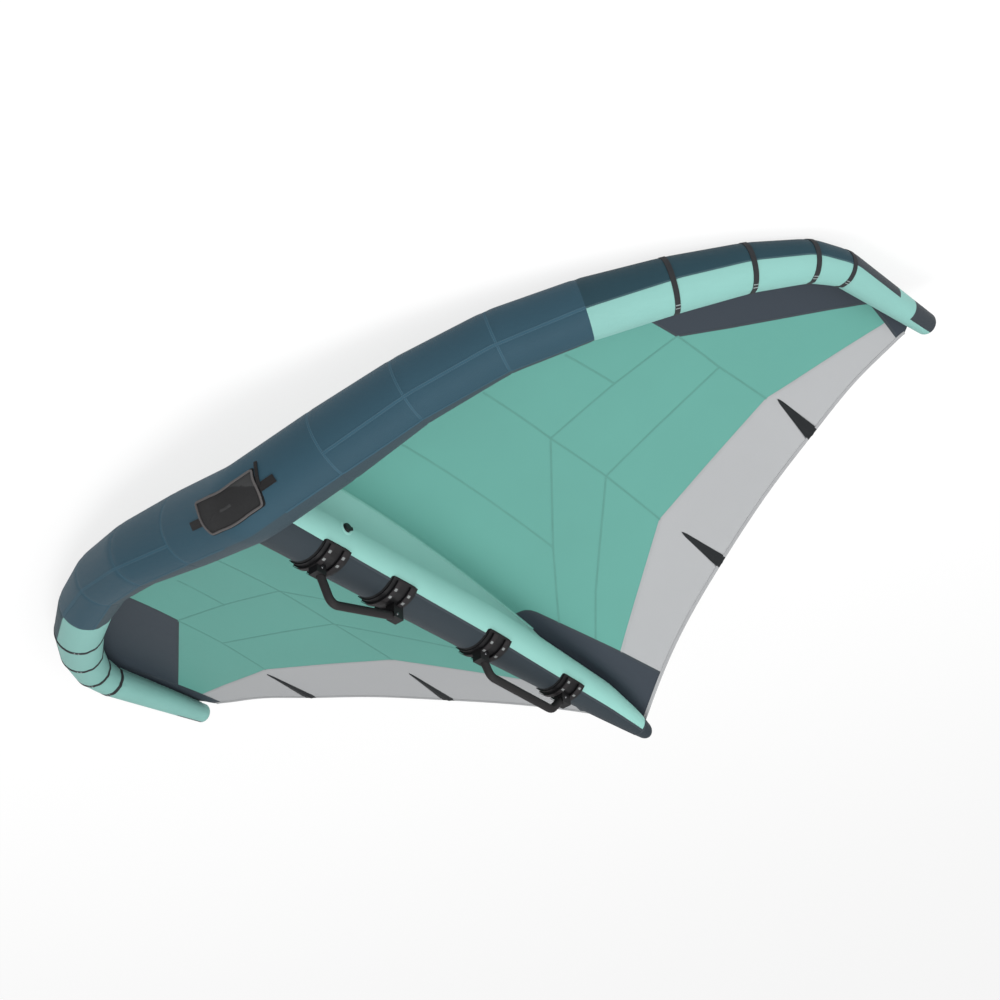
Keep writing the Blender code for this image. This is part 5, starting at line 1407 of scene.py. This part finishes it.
def pad_flat(arc, degrees):
    """A place or a run on the handle in metres along and round the tube."""
    return np.array([arc, math.radians(degrees) * PAD_TUBE_RADIUS])


def pad_rise(x, y):
    """How far the handle's cloth stands off the tube: a low hollow with a fold to its top corner. Also how
    far below the fold each place lies, which marks where the painted shadow above the fold goes.
    """
    arc, forward = pad_place(x, y)
    fold_top = pad_flat(*FOLD_ENDS[0])
    fold_run = pad_flat(*FOLD_ENDS[1]) - fold_top
    place = np.stack([arc, forward * PAD_TUBE_RADIUS], axis=-1)
    reach = place - fold_top
    across = (reach[..., 0] * fold_run[1] - reach[..., 1] * fold_run[0]) / np.linalg.norm(fold_run)
    below = 1 / (1 + np.exp(-across / 0.0022))
    inside = np.clip(1 - np.maximum(np.abs(x), np.abs(y)) ** 4, 0, 1)
    crease_run = pad_flat(*CREASE_RUN)
    reach = place - pad_flat(*CREASE_START)
    share = np.clip((reach @ crease_run) / crease_run.dot(crease_run), 0, 1)
    gap = np.linalg.norm(reach - share[..., None] * crease_run, axis=-1)
    crease = 0.0011 * np.exp(-((gap / 0.0028) ** 2))
    return 0.0042 + inside * (0.0022 * below - 0.0008 * (1 - below)) - crease, below


def handle_outline(count=180):
    """The handle's outline with its small round corners."""
    corners = ((-1.0, -1.0), (1.0, -1.0), (1.0, 1.0), (-1.0, 1.0))
    points = []
    for k in range(4):
        a = np.array(corners[k - 1])
        b = np.array(corners[k])
        c = np.array(corners[(k + 1) % 4])
        start = b + (a - b) / np.linalg.norm(a - b) * PAD_ROUND
        end = b + (c - b) / np.linalg.norm(c - b) * PAD_ROUND
        for w in np.linspace(0, 1, 9):
            points.append(start * (1 - w) ** 2 + 2 * b * w * (1 - w) + end * w**2)
    points = np.array(points + [points[0]])
    run = run_lengths(points)
    at = np.linspace(0, run[-1], count, endpoint=False)
    out = np.stack([np.interp(at, run, points[:, k]) for k in range(2)], axis=1)
    bow = 0.035 * np.sign(out[:, 0]) * np.sin(math.pi * out[:, 1])
    out[:, 0] -= np.where(np.abs(out[:, 0]) > 0.8, bow, 0.0)
    return out


def handle_ring(outline, scale, lift, spread=0.0):
    arc, forward = pad_place(outline[:, 0] * scale, outline[:, 1] * scale, spread)
    return le_surface(arc, front_angle(forward), lift, plain=True)


def build_front_handle():
    outline = handle_outline()
    count = len(outline)
    rings = [handle_ring(outline, scale, lift, spread) for scale, spread, lift in HANDLE_PATCH_RINGS]
    faces = grid_faces(len(rings), count, wrap=True) + end_faces(len(rings), count)[1:]
    patch = piece("handle_patch", rings, faces, [PATCH_CLOTH], slot="black_cloth")
    outward(patch)
    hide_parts("front_handle_patch")
    rings = [handle_ring(outline, scale, PAD_BASE_LIFT) for scale in (0.5, 1.0)]
    shades = [np.ones(count)] * 2
    for scale in PAD_SCALES:
        rise, below = pad_rise(*(outline * scale).T)
        rings.append(handle_ring(outline, scale, rise))
        shades.append(below)
    shades = np.array(shades)
    shades = shades[:-1] + shades[1:]
    # Cells above the fold take the darker cloth: painted shadow under the handle's upper edge
    kinds = ((shades + np.roll(shades, -1, axis=1)) / 4 < 0.5).astype(int)
    faces = grid_faces(len(rings), count, wrap=True) + end_faces(len(rings), count)
    pad = piece("handle_pad", rings, faces, [PAD_CLOTH, PAD_PAINTED_SHADE], list(kinds.ravel()) + [0, 0],
                smooth=60, slot="black_cloth")
    outward(pad)
    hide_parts("front_handle_pad")
    rim = handle_ring(outline, 1.0, 0.0052, 0.001)
    points, faces, uvs = tube(rim, 0.0036, sides=14, closed=True)
    outward(piece("handle_piping", points, faces, [PIPING], uvs=uvs, smooth=180, slot="black_cloth"))
    strips = Strips()
    for side in (1, -1):
        run = side * np.linspace(0.088, 0.143, 24)
        le_strip(strips, run, front_angle(TAB_FORWARD), 0.026, 0.0, 0, 0.0006, 0.0026, plain=True)
    arcs, degrees = np.array(STRAP_ROUTE).T
    places = np.arange(len(STRAP_ROUTE))
    steps = np.linspace(0, places[-1], 30)
    angles = front_angle(np.radians(np.interp(steps, places, degrees)))
    le_strip(strips, np.interp(steps, places, arcs), angles, 0.011, 0.0, 0, 0.0036, 0.0018, plain=True)
    straps = strips.build("handle_webbing", [BLACK_WEB], slot="webbing")
    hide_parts("front_handle_tab_left", "front_handle_tab_right", "front_handle_strap")


# Carried-over pieces

# The first word that a piece's name holds gives its look
NODE_LOOKS = (
    ("screw", STEEL),
    ("flap", RUBBER),
    ("valve", BLACK_PLASTIC),
    ("core", BLACK_METAL),
    ("bladder", FILM),
    ("batten", BATTEN),
    ("grip_bracket", BLACK_PLASTIC),
)


def dress_nodes():
    for name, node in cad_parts.items():
        for word, material in NODE_LOOKS:
            if word in name and not node.hide_render:
                node.data.materials.clear()
                node.data.materials.append(material)
                break


# Floor, light and camera

FLOOR_SIZE = 60.0
FLOOR_WHITE = (0.90, 0.90, 0.90, 1.0)
FLOOR_GLOW = 0.80
WORLD_STRENGTH = 0.60


def lamp(name, place, target, size, power):
    data = bpy.data.lights.new(name, "AREA")
    data.shape = "DISK"
    data.size = size
    data.energy = power
    obj = bpy.data.objects.new(name, data)
    obj.location = place
    way = Vector(target) - Vector(place)
    obj.rotation_euler = way.to_track_quat("-Z", "Y").to_euler()
    bpy.context.scene.collection.objects.link(obj)


def build_studio():
    """A pale floor that looks white to the camera but lights the wing less, and three soft lamps."""
    mesh = bpy.data.meshes.new("studio_floor")
    corners = [(x * FLOOR_SIZE, y * FLOOR_SIZE, 0) for x, y in ((-1, -1), (1, -1), (1, 1), (-1, 1))]
    mesh.from_pydata(corners, [], [(0, 1, 2, 3)])
    floor = bpy.data.objects.new("studio_floor", mesh)
    bpy.context.scene.collection.objects.link(floor)
    n = Nodes("floor_pale")
    n.shader.inputs["Base Color"].default_value = FLOOR_WHITE
    n.shader.inputs["Roughness"].default_value = 0.9
    rays = n.add("ShaderNodeLightPath").outputs
    seen = rays["Is Camera Ray"]
    for name in ("Is Glossy Ray", "Is Transmission Ray"):
        seen = n.math("MAXIMUM", seen, rays[name])
    mix = n.add("ShaderNodeMixShader")
    glow = n.add("ShaderNodeEmission")
    glow.inputs["Strength"].default_value = 1.0
    for source, socket in zip((n.math("MULTIPLY", seen, FLOOR_GLOW), n.shader.outputs[0], glow.outputs[0]),
                              mix.inputs):
        n.link(source, socket)
    n.link(mix.outputs[0], n.tree.nodes["Material Output"].inputs["Surface"])
    mesh.materials.append(n.material)
    world = bpy.data.worlds.new("studio")
    bpy.context.scene.world = world
    world.use_nodes = True
    background = world.node_tree.nodes["Background"]
    background.inputs["Color"].default_value = (1.0, 1.0, 1.0, 1.0)
    background.inputs["Strength"].default_value = WORLD_STRENGTH
    lamp("key", (0.8, -0.9, 6.2), (0.0, -0.2, 0.3), 5.0, 212.0)
    lamp("fill", (-5.2, -0.9, 3.6), (0.0, -0.2, 0.4), 5.0, 210.0)
    lamp("front", (-1.5, -6.0, 3.0), (0.0, -0.5, 0.3), 4.0, 70.0)


CAMERA_PLACE = (-4.2621, -4.2034, 4.1262)
CAMERA_RIGHT = (-0.751, 0.6568, 0.0688)
CAMERA_FORWARD = (0.5136, 0.6464, -0.5642)
FOCAL_PIXELS = 2502.7
PHOTO_PIXELS = 1000
SENSOR_WIDTH = 36.0


def build_camera():
    """The view of the photograph, given in the construction frame."""
    data = bpy.data.cameras.new("camera")
    data.sensor_width = SENSOR_WIDTH
    data.lens = FOCAL_PIXELS / PHOTO_PIXELS * SENSOR_WIDTH
    data.clip_start = 0.1
    data.clip_end = 200.0
    camera = bpy.data.objects.new("camera", data)
    bpy.context.scene.collection.objects.link(camera)
    right = Vector(CAMERA_RIGHT).normalized()
    forward = Vector(CAMERA_FORWARD).normalized()
    right = (right - forward * right.dot(forward)).normalized()
    down = forward.cross(right)
    basis = Matrix((right, -down, -forward)).transposed().to_4x4()
    basis.translation = Vector(CAMERA_PLACE)
    camera.matrix_world = REST @ basis
    bpy.context.scene.camera = camera


build_camera()
build_leading_edge()
build_bladders()
build_le_seams()
build_canopy_seams(build_canopy())
build_hem()
build_battens()
build_strut()
build_grips()
build_brackets()
build_front_handle()
dress_nodes()
build_studio()
bpy.context.scene.view_settings.view_transform = "Standard"
